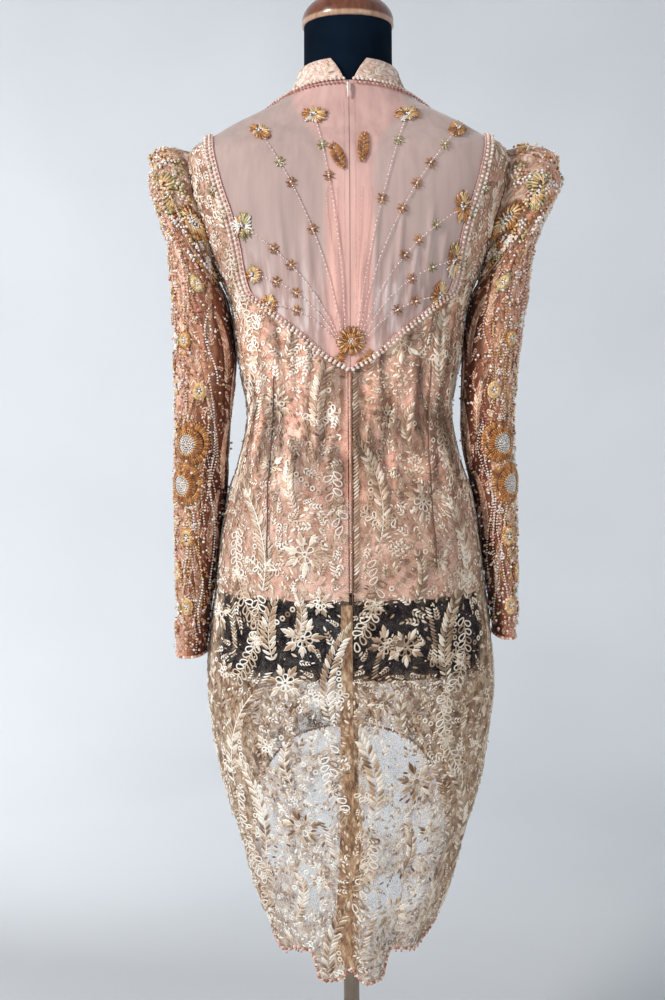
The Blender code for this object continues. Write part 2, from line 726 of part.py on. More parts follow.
def medallion(spec, side, material, collection):
    """A round of beadwork on the sleeve: a disc made from the sleeve's own points, moved out."""
    turn_step, row_step = 0.05, 0.05
    centre_row = sleeve_row_at(side, spec.height, spec.around)
    ahead = sleeve_point(side, centre_row, spec.around + turn_step)
    behind = sleeve_point(side, centre_row, spec.around - turn_step)
    turn_per_metre = 2 * turn_step / (ahead - behind).length
    disc = bmesh.new()
    bmesh.ops.create_circle(disc, cap_ends=True, cap_tris=True, segments=MEDALLION_SPOKES, radius=1.0)
    bmesh.ops.subdivide_edges(disc, edges=disc.edges, cuts=1, use_grid_fill=True)
    for vertex in disc.verts:
        around = spec.around + vertex.co.x * MEDALLION_RADIUS * turn_per_metre
        row = sleeve_row_at(side, spec.height + vertex.co.y * MEDALLION_RADIUS, around)
        across = sleeve_point(side, row, around + turn_step) - sleeve_point(side, row, around - turn_step)
        upward = sleeve_point(side, row + row_step, around) - sleeve_point(side, row - row_step, around)
        raised = sleeve_point(side, row, around) + upward.cross(across).normalized() * MEDALLION_LIFT
        vertex.co = Vector((side * raised.x, raised.y, raised.z))
    outside = Vector((side * math.cos(spec.around), -math.sin(spec.around), 0.0))
    disc.normal_update()
    inside_out = [face for face in disc.faces if face.normal.dot(outside) < 0]
    bmesh.ops.reverse_faces(disc, faces=inside_out)
    name = "medallion_%s_%s" % (spec.name, "right" if side > 0 else "left")
    made = add_bmesh(name, disc, material, collection)
    return add_thickness(made, MEDALLION_THICKNESS)


# ================================================================ centre back opening
def strip_heights(bottom, top):
    return [bottom] + [height for height in BODY_HEIGHTS + NECK_HEIGHTS if bottom < height < top] + [top]


def facing(side, material, collection):
    """The satin strip under the tulle beside the zip, from the neck down to the V."""
    heights = [
        height for height in strip_heights(YOKE_POINT_HEIGHT, ZIP_TOP)
        if yoke_edge_angle(height) > angle_at(ZIP_CHAIN_WIDTH, height)
    ]

    def place(column, row):
        height = heights[row]
        inner = angle_at(ZIP_CHAIN_WIDTH / 2 + SEAM_GAP, height)
        room = yoke_edge_angle(height) - seam_angle(height, 2 * YOKE_OVERLAY)
        least = inner + seam_angle(height, 2 * FACING_LEAST_WIDTH)
        outer = max(min(angle_at(FACING_WIDTH, height), room), least)
        share = column / FACING_COLUMNS if side > 0 else 1 - column / FACING_COLUMNS
        return figure_point(side * blend(inner, outer, share), height, FACING_LIFT)

    name = "facing_back_%s" % ("right" if side > 0 else "left")
    rows = len(heights) - 1
    return cloth_panel(name, FACING_COLUMNS, rows, place, FACING_THICKNESS, material, collection)


def centre_back_frame(height, lift):
    """A place on the centre back with its directions: out of the cloth, and up along it."""
    place = figure_point(0.0, height, lift)
    step = 0.004
    upward = (figure_point(0.0, height + step, lift) - figure_point(0.0, height - step, lift)).normalized()
    outward = upward.cross(Vector((-1.0, 0.0, 0.0))).normalized()
    return place, outward, upward


def zip_chain(material, collection):
    """The closed chain: a narrow strip under the centre back opening, from the slider to the hip."""
    heights = strip_heights(ZIP_BOTTOM, ZIP_TOP)

    def place(column, row):
        across = (column - 0.5) * ZIP_CHAIN_WIDTH
        point = figure_point(0.0, heights[row], FACING_LIFT)
        return Vector((across, point.y, point.z))

    return cloth_panel("zip_chain", 1, len(heights) - 1, place, ZIP_CHAIN_THICKNESS, material, collection)


def bar_along_back(name, size, top, lift, origin_drop, rounding, material, collection):
    """A small rounded bar lying along the centre back: top is its upper end, lift its inner face.

    Its size is its width, thickness and length, and its origin lies origin_drop below its upper end.
    """
    place, outward, upward = centre_back_frame(top, lift)
    width, thickness, length = size
    bpy.ops.mesh.primitive_cube_add(size=1.0)
    made = bpy.context.object
    move_to_collection(made, collection)
    made.name = name
    made.data.materials.append(material)
    shape = Matrix.Diagonal((width, thickness, length, 1.0))
    made.data.transform(Matrix.Translation((0.0, 0.0, origin_drop - length / 2)) @ shape)
    turn = Matrix((outward.cross(upward), outward, upward)).transposed().to_4x4()
    origin = place + outward * thickness / 2 - upward * origin_drop
    made.matrix_world = Matrix.Translation(origin) @ turn
    bevel = made.modifiers.new("Rounded", "BEVEL")
    bevel.width = rounding
    bevel.segments = 2
    bevel.limit_method = "NONE"
    return made


def zip_slider(material, collection):
    size = (SLIDER_WIDTH, SLIDER_THICKNESS, SLIDER_LENGTH)
    return bar_along_back(
        "zip_slider", size, SLIDER_TOP, SLIDER_LIFT, SLIDER_LENGTH / 2, SLIDER_ROUNDING, material, collection
    )


def zip_pull_tab(material, collection):
    """The tab, hanging from its hinge on the slider's face; its origin is on the hinge."""
    size = (TAB_WIDTH, TAB_THICKNESS, TAB_LENGTH)
    lift = SLIDER_LIFT + SLIDER_THICKNESS + SEAM_GAP
    return bar_along_back(
        "zip_pull_tab", size, TAB_TOP, lift, TAB_HINGE_DROP, TAB_ROUNDING, material, collection
    )


# ================================================================ beaded edgings
def yoke_edging(material, collection):
    """The double row of beads along the V and up both sides of the yoke's back, as one cord."""
    heights = [YOKE_EDGING_TOP]
    heights += [height for height in reversed(BODY_HEIGHTS) if height > YOKE_POINT_HEIGHT]
    half = [
        figure_point(angle_at(interpolate(YOKE_EDGE, height, 1), height), height, EDGING_LIFT)
        for height in heights
    ]
    tip = figure_point(0.0, YOKE_POINT_HEIGHT, EDGING_LIFT)
    mirrored = [Vector((-point.x, point.y, point.z)) for point in reversed(half)]
    return edging("yoke_edging_back", half + [tip] + mirrored, material, collection)


def collar_edging(material, collection):
    start = COLLAR_SPLIT_BASE
    points = []
    for step in range(COLLAR_EDGING_STEPS + 1):
        angle = blend(start, FULL_TURN - start, step / COLLAR_EDGING_STEPS)
        points.append(figure_point(angle, collar_base_height(angle), COLLAR_EDGING_LIFT))
    return edging("collar_edging", points, material, collection)


def hem_edging(material, collection):
    """The beaded cord all round the hem, just clear of the cut edge and level with the wall's middle."""
    back = [share * QUARTER_TURN for share in column_shares("back")]
    front = [math.pi - share * QUARTER_TURN for share in reversed(column_shares("front"))]
    half = back + front[1:]
    turns = half + [FULL_TURN - turn for turn in reversed(half[1:-1])]
    hem = [figure_point(turn, hem_height(turn), LACE_LIFT + LACE_THICKNESS / 2) for turn in turns]
    away = EDGING_RADIUS + EDGING_CLEARANCE
    points = []
    for index, turn in enumerate(turns):
        here, before, after = hem[index], hem[index - 1], hem[(index + 1) % len(hem)]
        outward = figure_normal(turn, hem_height(turn))
        coming, going = (here - before).normalized(), (after - here).normalized()
        along = (coming + going).normalized()
        mitre = max(EDGING_MITRE_LIMIT, math.sqrt((1 + coming.dot(going)) / 2))
        points.append(here + along.cross(outward).normalized() * away / mitre)
    return edging("hem_edging", points, material, collection, closed=True)


def cuff_edging(side, material, collection):
    name = "cuff_edging_%s" % ("right" if side > 0 else "left")
    drop = Vector((0.0, 0.0, -(EDGING_RADIUS + EDGING_CLEARANCE)))
    points = []
    for step in range(CUFF_EDGING_STEPS):
        point = ring_point(SLEEVE_RINGS[side][0], FULL_TURN * step / CUFF_EDGING_STEPS)
        points.append(Vector((side * point.x, point.y, point.z)) + drop)
    return edging(name, points, material, collection, closed=True)


# ================================================================ main
def clear_scene():
    for old in list(bpy.data.objects):
        bpy.data.objects.remove(old, do_unlink=True)


def main():
    clear_scene()
    parts = new_collection("kebaya_on_dress_form")
    jersey = make_material("black_jersey", (0.012, 0.014, 0.022), 0.85)
    wood = make_material("lacquered_wood", (0.20, 0.075, 0.035), 0.35)
    chrome = make_material("chrome", (0.75, 0.75, 0.77), 0.12, 1.0)
    base_paint = make_material("base_paint", (0.02, 0.02, 0.022), 0.4)
    lace = make_material("gold_lace", (0.66, 0.47, 0.33), 0.6)
    satin = make_material("peach_satin", (0.80, 0.42, 0.33), 0.45)
    tulle = make_material("pink_tulle", (0.51, 0.40, 0.39), 0.7)
    beads = make_material("pearl_beads", (0.80, 0.58, 0.50), 0.25)
    amber = make_material("amber_beads", (0.55, 0.25, 0.08), 0.3)
    zip_metal = make_material("zip_metal", (0.85, 0.62, 0.56), 0.3, 0.6)

    torso(jersey, parts)
    neck_cap(wood, parts)
    pole(chrome, parts)
    base(base_paint, parts)
    for side in (-1, 1):
        for face in ("back", "front"):
            lace_panel(face, side, lace, parts)
            lining_panel(face, side, satin, parts)
        yoke_back(side, tulle, parts)
        sleeve(side, lace, parts)
        facing(side, satin, parts)
        cuff_edging(side, beads, parts)
        for spec in MEDALLIONS:
            medallion(spec, side, amber, parts)
    yoke_front(tulle, parts)
    collar(lace, parts)
    zip_chain(satin, parts)
    zip_slider(zip_metal, parts)
    zip_pull_tab(zip_metal, parts)
    yoke_edging(beads, parts)
    collar_edging(beads, parts)
    hem_edging(beads, parts)


main()
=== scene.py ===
"""The looks of a kebaya blouse on a dress form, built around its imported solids.

Units are metres and +Z is up, in the solids' own frame: the wearer faces +Y, so the zipped back looks along
-Y and the wearer's left is at -X. The cloth lies on one figure, given by its horizontal sections. A place on
the figure is an angle and a height: the angle is 0 at the centre back and 180 degrees at the centre front.
Shapes are worked out on arrays, so a surface here is a function of two coordinate arrays and a lift.
"""

import math
from collections import namedtuple

import bpy
import numpy as np
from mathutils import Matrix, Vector


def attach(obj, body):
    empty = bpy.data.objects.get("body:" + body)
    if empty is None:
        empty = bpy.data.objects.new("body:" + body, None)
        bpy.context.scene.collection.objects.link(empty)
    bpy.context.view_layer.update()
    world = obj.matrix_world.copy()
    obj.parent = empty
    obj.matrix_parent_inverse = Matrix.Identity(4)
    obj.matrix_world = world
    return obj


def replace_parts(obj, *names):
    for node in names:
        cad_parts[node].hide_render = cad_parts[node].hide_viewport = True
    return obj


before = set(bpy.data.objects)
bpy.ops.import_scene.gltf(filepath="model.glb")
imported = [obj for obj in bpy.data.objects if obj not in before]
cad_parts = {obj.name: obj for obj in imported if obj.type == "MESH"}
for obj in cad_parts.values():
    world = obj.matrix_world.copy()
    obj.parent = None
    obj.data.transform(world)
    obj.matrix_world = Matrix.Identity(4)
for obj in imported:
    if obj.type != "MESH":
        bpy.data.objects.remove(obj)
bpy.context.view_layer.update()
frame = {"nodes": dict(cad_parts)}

QUARTER_TURN = math.pi / 2
FULL_TURN = 2 * math.pi
ON_FORM = "garment_on_form"
SIDES = {"left": -1, "right": 1}

# ---------------------------------------------------------------- the figure, as the solids have it
Section = namedtuple("Section", "height half_width back front")
FIGURE = [Section(*row) for row in (
    (0.330, 0.0825, 0.0760, 0.0740), (0.360, 0.0860, 0.0780, 0.0760), (0.390, 0.0960, 0.0800, 0.0780),
    (0.430, 0.1140, 0.0840, 0.0800), (0.472, 0.1280, 0.0870, 0.0830), (0.519, 0.1400, 0.0900, 0.0870),
    (0.547, 0.1500, 0.0920, 0.0900), (0.589, 0.1610, 0.0950, 0.0930), (0.639, 0.1693, 0.0980, 0.0960),
    (0.697, 0.1750, 0.1010, 0.0980), (0.722, 0.1745, 0.1030, 0.0980), (0.760, 0.1713, 0.1100, 0.1010),
    (0.820, 0.1628, 0.1190, 0.1040), (0.880, 0.1553, 0.1180, 0.1070), (0.935, 0.1463, 0.1080, 0.1080),
    (0.970, 0.1338, 0.0990, 0.1070), (1.034, 0.1218, 0.0880, 0.1030), (1.097, 0.1323, 0.0900, 0.1080),
    (1.150, 0.1385, 0.0970, 0.1220), (1.171, 0.1425, 0.1000, 0.1290), (1.197, 0.1525, 0.1030, 0.1340),
    (1.236, 0.1700, 0.1060, 0.1290), (1.275, 0.1850, 0.1055, 0.1150), (1.306, 0.1920, 0.1010, 0.0970),
    (1.325, 0.1920, 0.0950, 0.0860), (1.338, 0.1895, 0.0890, 0.0780), (1.346, 0.1830, 0.0830, 0.0720),
    (1.352, 0.1740, 0.0780, 0.0670), (1.358, 0.1615, 0.0735, 0.0625), (1.372, 0.1370, 0.0660, 0.0580),
    (1.385, 0.1090, 0.0615, 0.0550), (1.395, 0.0875, 0.0590, 0.0540), (1.405, 0.0720, 0.0570, 0.0535),
    (1.417, 0.0615, 0.0555, 0.0530), (1.437, 0.0535, 0.0535, 0.0530), (1.489, 0.0530, 0.0530, 0.0530),
)]
SQUARENESS = 0.92
TORSO_BOTTOM, TORSO_TOP, TORSO_EASE = 0.722, 1.489, 0.0008

ARMHOLE_HEIGHT, ARMHOLE_RISE, ARMHOLE_SPREAD = 1.2755, 0.0685, math.radians(20)
YOKE_POINT_HEIGHT, YOKE_CORNER_HEIGHT, SHOULDER_HEIGHT = 1.083, 1.174, 1.358
EdgePoint = namedtuple("EdgePoint", "height across")
YOKE_EDGE = [EdgePoint(*row) for row in (
    (1.083, 0.0000), (1.090, 0.0130), (1.105, 0.0355), (1.127, 0.0590), (1.144, 0.0805), (1.163, 0.1030),
    (1.174, 0.1165), (1.197, 0.1235), (1.227, 0.1285), (1.261, 0.1370), (1.296, 0.1490), (1.325, 0.1570),
    (1.358, 0.1640),
)]
COLLAR_BASE, COLLAR_BASE_TILT = 1.3945, 0.0200
COLLAR_TOP, COLLAR_TOP_TILT = 1.4340, 0.0060
COLLAR_SPLIT_BASE, COLLAR_SPLIT_TOP = math.radians(4), math.radians(19)

LINING_HEM, SKIRT_TOP = 0.820, 0.655
HemPoint = namedtuple("HemPoint", "angle height")
HEM = [HemPoint(*row) for row in (
    (0.0, 0.3680), (9.0, 0.3510), (20.0, 0.3485), (25.0, 0.3530), (28.0, 0.3880), (46.0, 0.3840),
    (60.0, 0.3745), (75.0, 0.4000), (90.0, 0.4330), (112.0, 0.4900), (135.0, 0.5600), (158.0, 0.6070),
    (180.0, 0.6200),
)]
FOLD_TOP, FOLD_BOTTOM = 0.715, 0.380
FOLD_COUNT, FOLD_DEPTH, FOLD_PHASE = 10, 0.0035, 0.6
CENTRE_FOLD_ANGLE, CENTRE_FOLD_WIDTH, CENTRE_FOLD_DEPTH = math.radians(9), math.radians(6), 0.006

# Sleeve rings from the cuff up, written as for +X. Both sleeves share their depths and gathers.
RING_DEPTHS = (0.0400, 0.0420, 0.0440, 0.0460, 0.0480, 0.0500, 0.0510,
               0.0520, 0.0530, 0.0520, 0.0490, 0.0490, 0.0470, 0.0440)
RING_GATHERS = (0.0,) * 7 + (0.3, 0.7, 1.0, 1.0, 0.8, 0.5, 0.2)


def sleeve_rings(ends, hang):
    """Rows of ring number, the ends' inner x and z and outer x and z, depth, middle's y, and gather."""
    shared = zip(ends, RING_DEPTHS, hang, RING_GATHERS)
    return [(index, *end, depth, middle, gather) for index, (end, depth, middle, gather) in enumerate(shared)]


SLEEVE_RINGS = {
    -1: sleeve_rings((
        (0.1785, 0.7410, 0.2155, 0.7400), (0.1708, 0.8000, 0.2125, 0.8000),
        (0.1632, 0.8600, 0.2130, 0.8600), (0.1520, 0.9350, 0.2135, 0.9350),
        (0.1465, 1.0150, 0.2115, 1.0150), (0.1380, 1.0950, 0.2110, 1.0950),
        (0.1478, 1.1680, 0.2125, 1.1720), (0.1565, 1.1880, 0.2160, 1.2300),
        (0.1600, 1.1960, 0.2290, 1.2800), (0.1615, 1.2000, 0.2370, 1.3060),
        (0.1625, 1.2025, 0.2310, 1.3225), (0.1630, 1.2045, 0.2340, 1.3370),
        (0.1635, 1.2060, 0.2170, 1.3475), (0.1625, 1.2070, 0.2030, 1.3470),
    ), (-0.004, -0.003, -0.002) + (0.0,) * 11),
    1: sleeve_rings((
        (0.1768, 0.7630, 0.2035, 0.7620), (0.1692, 0.8150, 0.2035, 0.8150),
        (0.1622, 0.8700, 0.2030, 0.8700), (0.1505, 0.9400, 0.2025, 0.9400),
        (0.1370, 1.0150, 0.1985, 1.0150), (0.1378, 1.0950, 0.2035, 1.0950),
        (0.1478, 1.1680, 0.2135, 1.1720), (0.1565, 1.1880, 0.2215, 1.2300),
        (0.1600, 1.1960, 0.2410, 1.2800), (0.1615, 1.2000, 0.2530, 1.3060),
        (0.1625, 1.2025, 0.2460, 1.3225), (0.1630, 1.2045, 0.2460, 1.3370),
        (0.1635, 1.2060, 0.2240, 1.3475), (0.1625, 1.2070, 0.2060, 1.3470),
    ), (-0.008, -0.006, -0.004) + (0.0,) * 11),
}
HEAD_ROW, SEAM_ROW = 13.0, 14.0
GATHER_COUNT, GATHER_DEPTH, GATHER_REACH = 6, 0.0028, 0.8
PUCKER_DEPTH = 0.0026
SEAM_SPREAD, SEAM_RISE = ARMHOLE_SPREAD * 1.006, ARMHOLE_RISE * 1.004  # just over the panels' edge

# ---------------------------------------------------------------- layers, as lifts off the figure
LINING_LIFT, FACING_LIFT = 0.0012, 0.0012
NET_LIFT, MOTIF_LIFT, YOKE_LIFT = 0.0029, 0.0032, 0.0031
SATIN_PROUD = 0.0004  # the satin and the zip's tape are shown this far above their own lift
SLEEVE_LIFT = -0.0004
EDGE_TAPE_LIFT, EDGE_BEAD_LIFT, COLLAR_BEAD_LIFT, YOKE_BEAD_LIFT = 0.0042, 0.0058, 0.0056, 0.0040
BEHIND = (0.0, -1.0, 0.0)

# ---------------------------------------------------------------- seeds of the random draws
PANEL_SEED, FRONT_SEED_STEP, SLEEVE_LACE_SEED, COLLAR_SEED = 11, 20, 60, 9
YOKE_BEAD_SEED, HEM_BEAD_SEED, SLEEVE_BEAD_SEED, BODY_BEAD_SEED = 31, 5, 40, 70


# ================================================================ curves and surfaces on arrays
def curve_through(table, column, at):
    """A table's column at many places along its first column, on the solids' smooth monotone curve."""
    places = np.array([row[0] for row in table], float)
    values = np.array([row[column] for row in table], float)
    slopes = np.diff(values) / np.diff(places)
    before, after = slopes[:-1], slopes[1:]
    turning = before * after <= 0
    total = np.where(turning, 1.0, before + after)
    inner = np.where(turning, 0.0, 2 * before * after / total)
    tangents = np.concatenate((slopes[:1], inner, slopes[-1:]))
    at = np.clip(at, places[0], places[-1])
    low = np.clip(np.searchsorted(places, at, side="right") - 1, 0, len(places) - 2)
    span = places[low + 1] - places[low]
    t = (at - places[low]) / span
    return (
        values[low] * (1 + 2 * t) * (1 - t) ** 2
        + values[low + 1] * t * t * (3 - 2 * t)
        + tangents[low] * span * t * (1 - t) ** 2
        - tangents[low + 1] * span * t * t * (1 - t)
    )


def blend(start, end, share):
    return start + (end - start) * share


def smooth_step(share):
    share = np.clip(share, 0.0, 1.0)
    return share * share * (3 - 2 * share)


def signed_power(value):
    return np.sign(value) * np.abs(value) ** SQUARENESS


def unit(vectors):
    return vectors / np.maximum(np.linalg.norm(vectors, axis=-1, keepdims=True), 1e-12)


def skirt_fold(angle, height):
    depth = smooth_step((FOLD_TOP - height) / (FOLD_TOP - FOLD_BOTTOM))
    waves = FOLD_DEPTH * np.sin(FOLD_COUNT * angle + FOLD_PHASE)
    turned = (angle - CENTRE_FOLD_ANGLE + math.pi) % FULL_TURN - math.pi
    centre_fold = CENTRE_FOLD_DEPTH * np.exp(-((turned / CENTRE_FOLD_WIDTH) ** 2))
    return depth * (waves + centre_fold)


def figure_surface(angle, height):
    angle, height = np.broadcast_arrays(np.asarray(angle, float), np.asarray(height, float))
    half_width = curve_through(FIGURE, 1, height)
    behind = np.cos(angle) > 0
    depth = np.where(behind, curve_through(FIGURE, 2, height), curve_through(FIGURE, 3, height))
    out = skirt_fold(angle, height)
    across = (half_width + out) * signed_power(np.sin(angle))
    toward = -(depth + out) * signed_power(np.cos(angle))
    return np.stack((across, toward, height), axis=-1)


def figure_points(angle, height, lift):
    """Points of the figure, moved out by lift along its normal."""
    angle_step, height_step = 0.02, 0.002
    across = figure_surface(angle + angle_step, height) - figure_surface(angle - angle_step, height)
    upward = figure_surface(angle, height + height_step) - figure_surface(angle, height - height_step)
    lift = np.asarray(lift, float)[..., None]
    return figure_surface(angle, height) + unit(np.cross(across, upward)) * lift


def angle_at(across, height):
    share = np.clip(np.asarray(across) / curve_through(FIGURE, 1, height), 0.0, 1.0)
    return np.arcsin(share ** (1 / SQUARENESS))


def seam_angle(height, gap=0.0003):
    return 0.5 * gap / curve_through(FIGURE, 1, height)


def yoke_edge_angle(height):
    height = np.asarray(height, float)
    sloping = angle_at(curve_through(YOKE_EDGE, 1, height), height)
    return np.where(height >= SHOULDER_HEIGHT, QUARTER_TURN, sloping)


def side_angle(height):
    rise = np.clip((np.asarray(height, float) - ARMHOLE_HEIGHT) / ARMHOLE_RISE, -1, 1)
    return QUARTER_TURN - ARMHOLE_SPREAD * np.sqrt(1 - rise * rise)


def hem_height(angle):
    degrees = np.abs(np.degrees((np.asarray(angle, float) + math.pi) % FULL_TURN - math.pi))
    return curve_through(HEM, 1, degrees)


def collar_base_height(angle):
    return COLLAR_BASE + COLLAR_BASE_TILT * np.cos(angle)


def to_face(from_centre, face, side):
    return side * (from_centre if face == "back" else math.pi - from_centre)


# ---------------------------------------------------------------- creases
Crease = namedtuple("Crease", "top_across top_height bottom_across bottom_height width depth")
BACK_CREASES = [Crease(*row) for row in (
    (-0.098, 1.135, -0.072, 1.010, 0.0060, 0.0026), (-0.078, 1.115, -0.056, 1.000, 0.0050, 0.0029),
    (-0.057, 1.100, -0.040, 0.985, 0.0055, 0.0026), (-0.034, 1.080, -0.024, 0.990, 0.0045, 0.0022),
    (-0.016, 1.060, -0.040, 0.900, 0.0060, 0.0016), (0.028, 1.080, 0.020, 0.960, 0.0055, 0.0019),
    (0.058, 1.108, 0.042, 0.990, 0.0060, 0.0029), (0.082, 1.125, 0.062, 0.975, 0.0050, 0.0026),
    (0.104, 1.150, 0.086, 1.030, 0.0060, 0.0022), (-0.120, 1.000, -0.060, 0.880, 0.0070, 0.0019),
    (0.118, 1.000, 0.050, 0.905, 0.0070, 0.0019), (-0.130, 0.960, -0.090, 0.860, 0.0070, 0.0022),
    (0.130, 0.955, 0.080, 0.850, 0.0080, 0.0022),
)]
FRONT_CREASES = [Crease(*row) for row in (
    (-0.110, 1.120, -0.075, 0.990, 0.0065, 0.0021), (0.108, 1.120, 0.078, 0.985, 0.0065, 0.0021),
    (-0.060, 1.070, -0.040, 0.960, 0.0060, 0.0018), (0.064, 1.075, 0.046, 0.970, 0.0055, 0.0018),
    (-0.118, 0.980, -0.050, 0.870, 0.0075, 0.0018), (0.120, 0.985, 0.060, 0.875, 0.0075, 0.0018),
)]


def crease_lift(creases, across, height):
    """How far long soft ridges raise the cloth; each dies away at both ends."""
    raised = np.zeros(np.broadcast(across, height).shape)
    for crease in creases:
        start = np.array((crease.top_across, crease.top_height))
        run = np.array((crease.bottom_across, crease.bottom_height)) - start
        length = np.linalg.norm(run)
        along = ((across - start[0]) * run[0] + (height - start[1]) * run[1]) / length
        aside = ((across - start[0]) * run[1] - (height - start[1]) * run[0]) / length
        share = along / length
        taper = smooth_step(4 * share) * smooth_step(2.5 * (1 - share))
        raised = raised + crease.depth * taper * np.exp(-((aside / crease.width) ** 2))
    return raised


def cloth_points(angle, height, lift):
    """Points on the lace or lining: the figure with its creases."""
    angle, height = np.broadcast_arrays(np.asarray(angle, float), np.asarray(height, float))
    across = figure_surface(angle, height)[..., 0]
    raised = np.where(
        np.cos(angle) > 0,
        crease_lift(BACK_CREASES, across, height),
        crease_lift(FRONT_CREASES, across, height),
    )
    return figure_points(angle, height, lift + raised)


# ---------------------------------------------------------------- sleeves
def sleeve_surface(side, row, around):
    """Points of a sleeve, as for +X; around is 0 on its outer line and half a turn next to the body."""
    row, around = np.broadcast_arrays(np.asarray(row, float), np.asarray(around, float))
    on_ring = np.minimum(row, HEAD_ROW)
    inner_x, inner_z, outer_x, outer_z, depth, centre_y, gather = (
        curve_through(SLEEVE_RINGS[side], column, on_ring) for column in range(1, 8)
    )
    inner = np.stack((inner_x, np.zeros_like(inner_x), inner_z), axis=-1)
    outer = np.stack((outer_x, np.zeros_like(outer_x), outer_z), axis=-1)
    middle, half = (inner + outer) / 2, (outer - inner) / 2
    toward_outside = smooth_step(0.5 + GATHER_REACH * np.cos(around))
    swell = gather * toward_outside * GATHER_DEPTH * np.cos(GATHER_COUNT * around)
    longer = 1 + swell / np.linalg.norm(half, axis=-1)
    ring = middle + half * (longer * signed_power(np.cos(around)))[..., None]
    ring[..., 1] += centre_y - (depth + swell) * signed_power(np.sin(around))
    seam_around = QUARTER_TURN - SEAM_SPREAD * np.sin(around)
    seam_height = ARMHOLE_HEIGHT + SEAM_RISE * np.cos(around)
    seam = figure_points(seam_around, seam_height, NET_LIFT)
    return blend(ring, seam, np.clip(row - HEAD_ROW, 0, 1)[..., None])


SleeveCrease = namedtuple("SleeveCrease", "row around turn_per_row width depth")
SLEEVE_CREASES = [SleeveCrease(*row) for row in (
    (2.35, 1.3, 1.6, 0.16, 0.0014), (2.80, 1.5, -1.9, 0.15, 0.0016), (3.30, 1.2, 1.4, 0.16, 0.0018),
    (3.75, 1.6, -1.7, 0.14, 0.0014), (4.40, 1.4, 2.2, 0.18, 0.0012), (1.30, 1.5, -1.8, 0.18, 0.0010),
    (0.70, 1.3, 2.0, 0.18, 0.0010), (6.10, 1.5, 2.6, 0.22, 0.0012), (3.10, 4.6, 1.8, 0.18, 0.0014),
    (3.60, 4.9, -1.8, 0.16, 0.0012),
)]


SLEEVE_CREASE_SPREAD, SLEEVE_CREASE_SLANT = 0.9, 6
PUCKER_ROW, PUCKER_FADE, PUCKER_COUNT = 8.2, 1.5, 17


def sleeve_points(side, row, around, lift):
    """Points of one sleeve, creased at the elbow and moved out by lift."""
    row, around = np.broadcast_arrays(np.asarray(row, float), np.asarray(around, float))
    row_step, around_step = 0.03, 0.03
    across = sleeve_surface(side, row, around + around_step) - sleeve_surface(side, row, around - around_step)
    upward = sleeve_surface(side, row + row_step, around) - sleeve_surface(side, row - row_step, around)
    raised = np.zeros(row.shape)
    for crease in SLEEVE_CREASES:
        turned = (around - crease.around + math.pi) % FULL_TURN - math.pi
        off = row - crease.row - turned / (crease.turn_per_row * SLEEVE_CREASE_SLANT)
        reach = np.exp(-((turned / SLEEVE_CREASE_SPREAD) ** 2))
        raised = raised + crease.depth * reach * np.exp(-((off / crease.width) ** 2))
    head = smooth_step((row - PUCKER_ROW) / PUCKER_FADE) * smooth_step(SEAM_ROW - row)
    waves = np.cos(PUCKER_COUNT * around + 2.2 * np.sin(1.3 * row))
    puckers = 0.5 + 0.5 * waves * np.cos(4 * around + row)
    raised = raised + head * PUCKER_DEPTH * puckers
    outward = unit(np.cross(upward, across))
    points = sleeve_surface(side, row, around) + outward * (np.asarray(lift) + raised)[..., None]
    return points * np.array((side, 1.0, 1.0))


# ---------------------------------------------------------------- open places in the lace
# Ellipses on each half of the back or front, by metres from the centre line and height.
OpenPlace = namedtuple("OpenPlace", "x y half_width half_height")
OPEN_PLACES = {
    -1: [OpenPlace(*row) for row in (
        (0.042, 0.662, 0.024, 0.030), (0.036, 0.572, 0.020, 0.038), (0.112, 0.530, 0.020, 0.042),
        (0.060, 0.462, 0.024, 0.030), (0.092, 0.640, 0.012, 0.022), (0.140, 0.640, 0.010, 0.030),
        (0.030, 0.838, 0.026, 0.015), (0.086, 0.848, 0.012, 0.018), (0.026, 0.930, 0.011, 0.022),
        (0.104, 0.905, 0.014, 0.026), (0.070, 1.030, 0.012, 0.024), (0.128, 1.020, 0.010, 0.030),
    )],
    1: [OpenPlace(*row) for row in (
        (0.046, 0.632, 0.034, 0.040), (0.040, 0.560, 0.026, 0.028), (0.094, 0.535, 0.018, 0.026),
        (0.044, 0.462, 0.030, 0.028), (0.102, 0.455, 0.014, 0.022), (0.128, 0.660, 0.010, 0.024),
        (0.022, 0.862, 0.016, 0.034), (0.060, 0.838, 0.020, 0.013), (0.098, 0.838, 0.014, 0.016),
        (0.036, 0.985, 0.012, 0.030), (0.110, 0.945, 0.012, 0.026), (0.082, 1.050, 0.014, 0.024),
    )],
}


# The golden tape over the skirt's centre seam: height, and its left and right edges across.
SEAM_TAPE = np.array([
    (0.360, -0.0190, 0.0040), (0.420, -0.0190, 0.0030), (0.470, -0.0170, 0.0050), (0.500, -0.0145, 0.0130),
    (0.560, -0.0135, 0.0120), (0.600, -0.0130, 0.0030), (0.700, -0.0128, 0.0012), (0.816, -0.0120, 0.0010),
])


def on_tape(side, x, y):
    """Whether a place of a half panel of the back lies under the seam's tape."""
    reach = np.abs(np.interp(y, SEAM_TAPE[:, 0], SEAM_TAPE[:, 1 if side < 0 else 2]))
    return (x < reach) & (y < SEAM_TAPE[-1, 0])


def how_open(side, x, y):
    """0 in the worked lace, 1 inside an open place."""
    nearest = np.full(np.broadcast(x, y).shape, 9.0)
    for place in OPEN_PLACES[side]:
        away = np.hypot((x - place.x) / place.half_width, (y - place.y) / place.half_height)
        nearest = np.minimum(nearest, away)
    return 1 - smooth_step((nearest - 0.75) / 0.5)


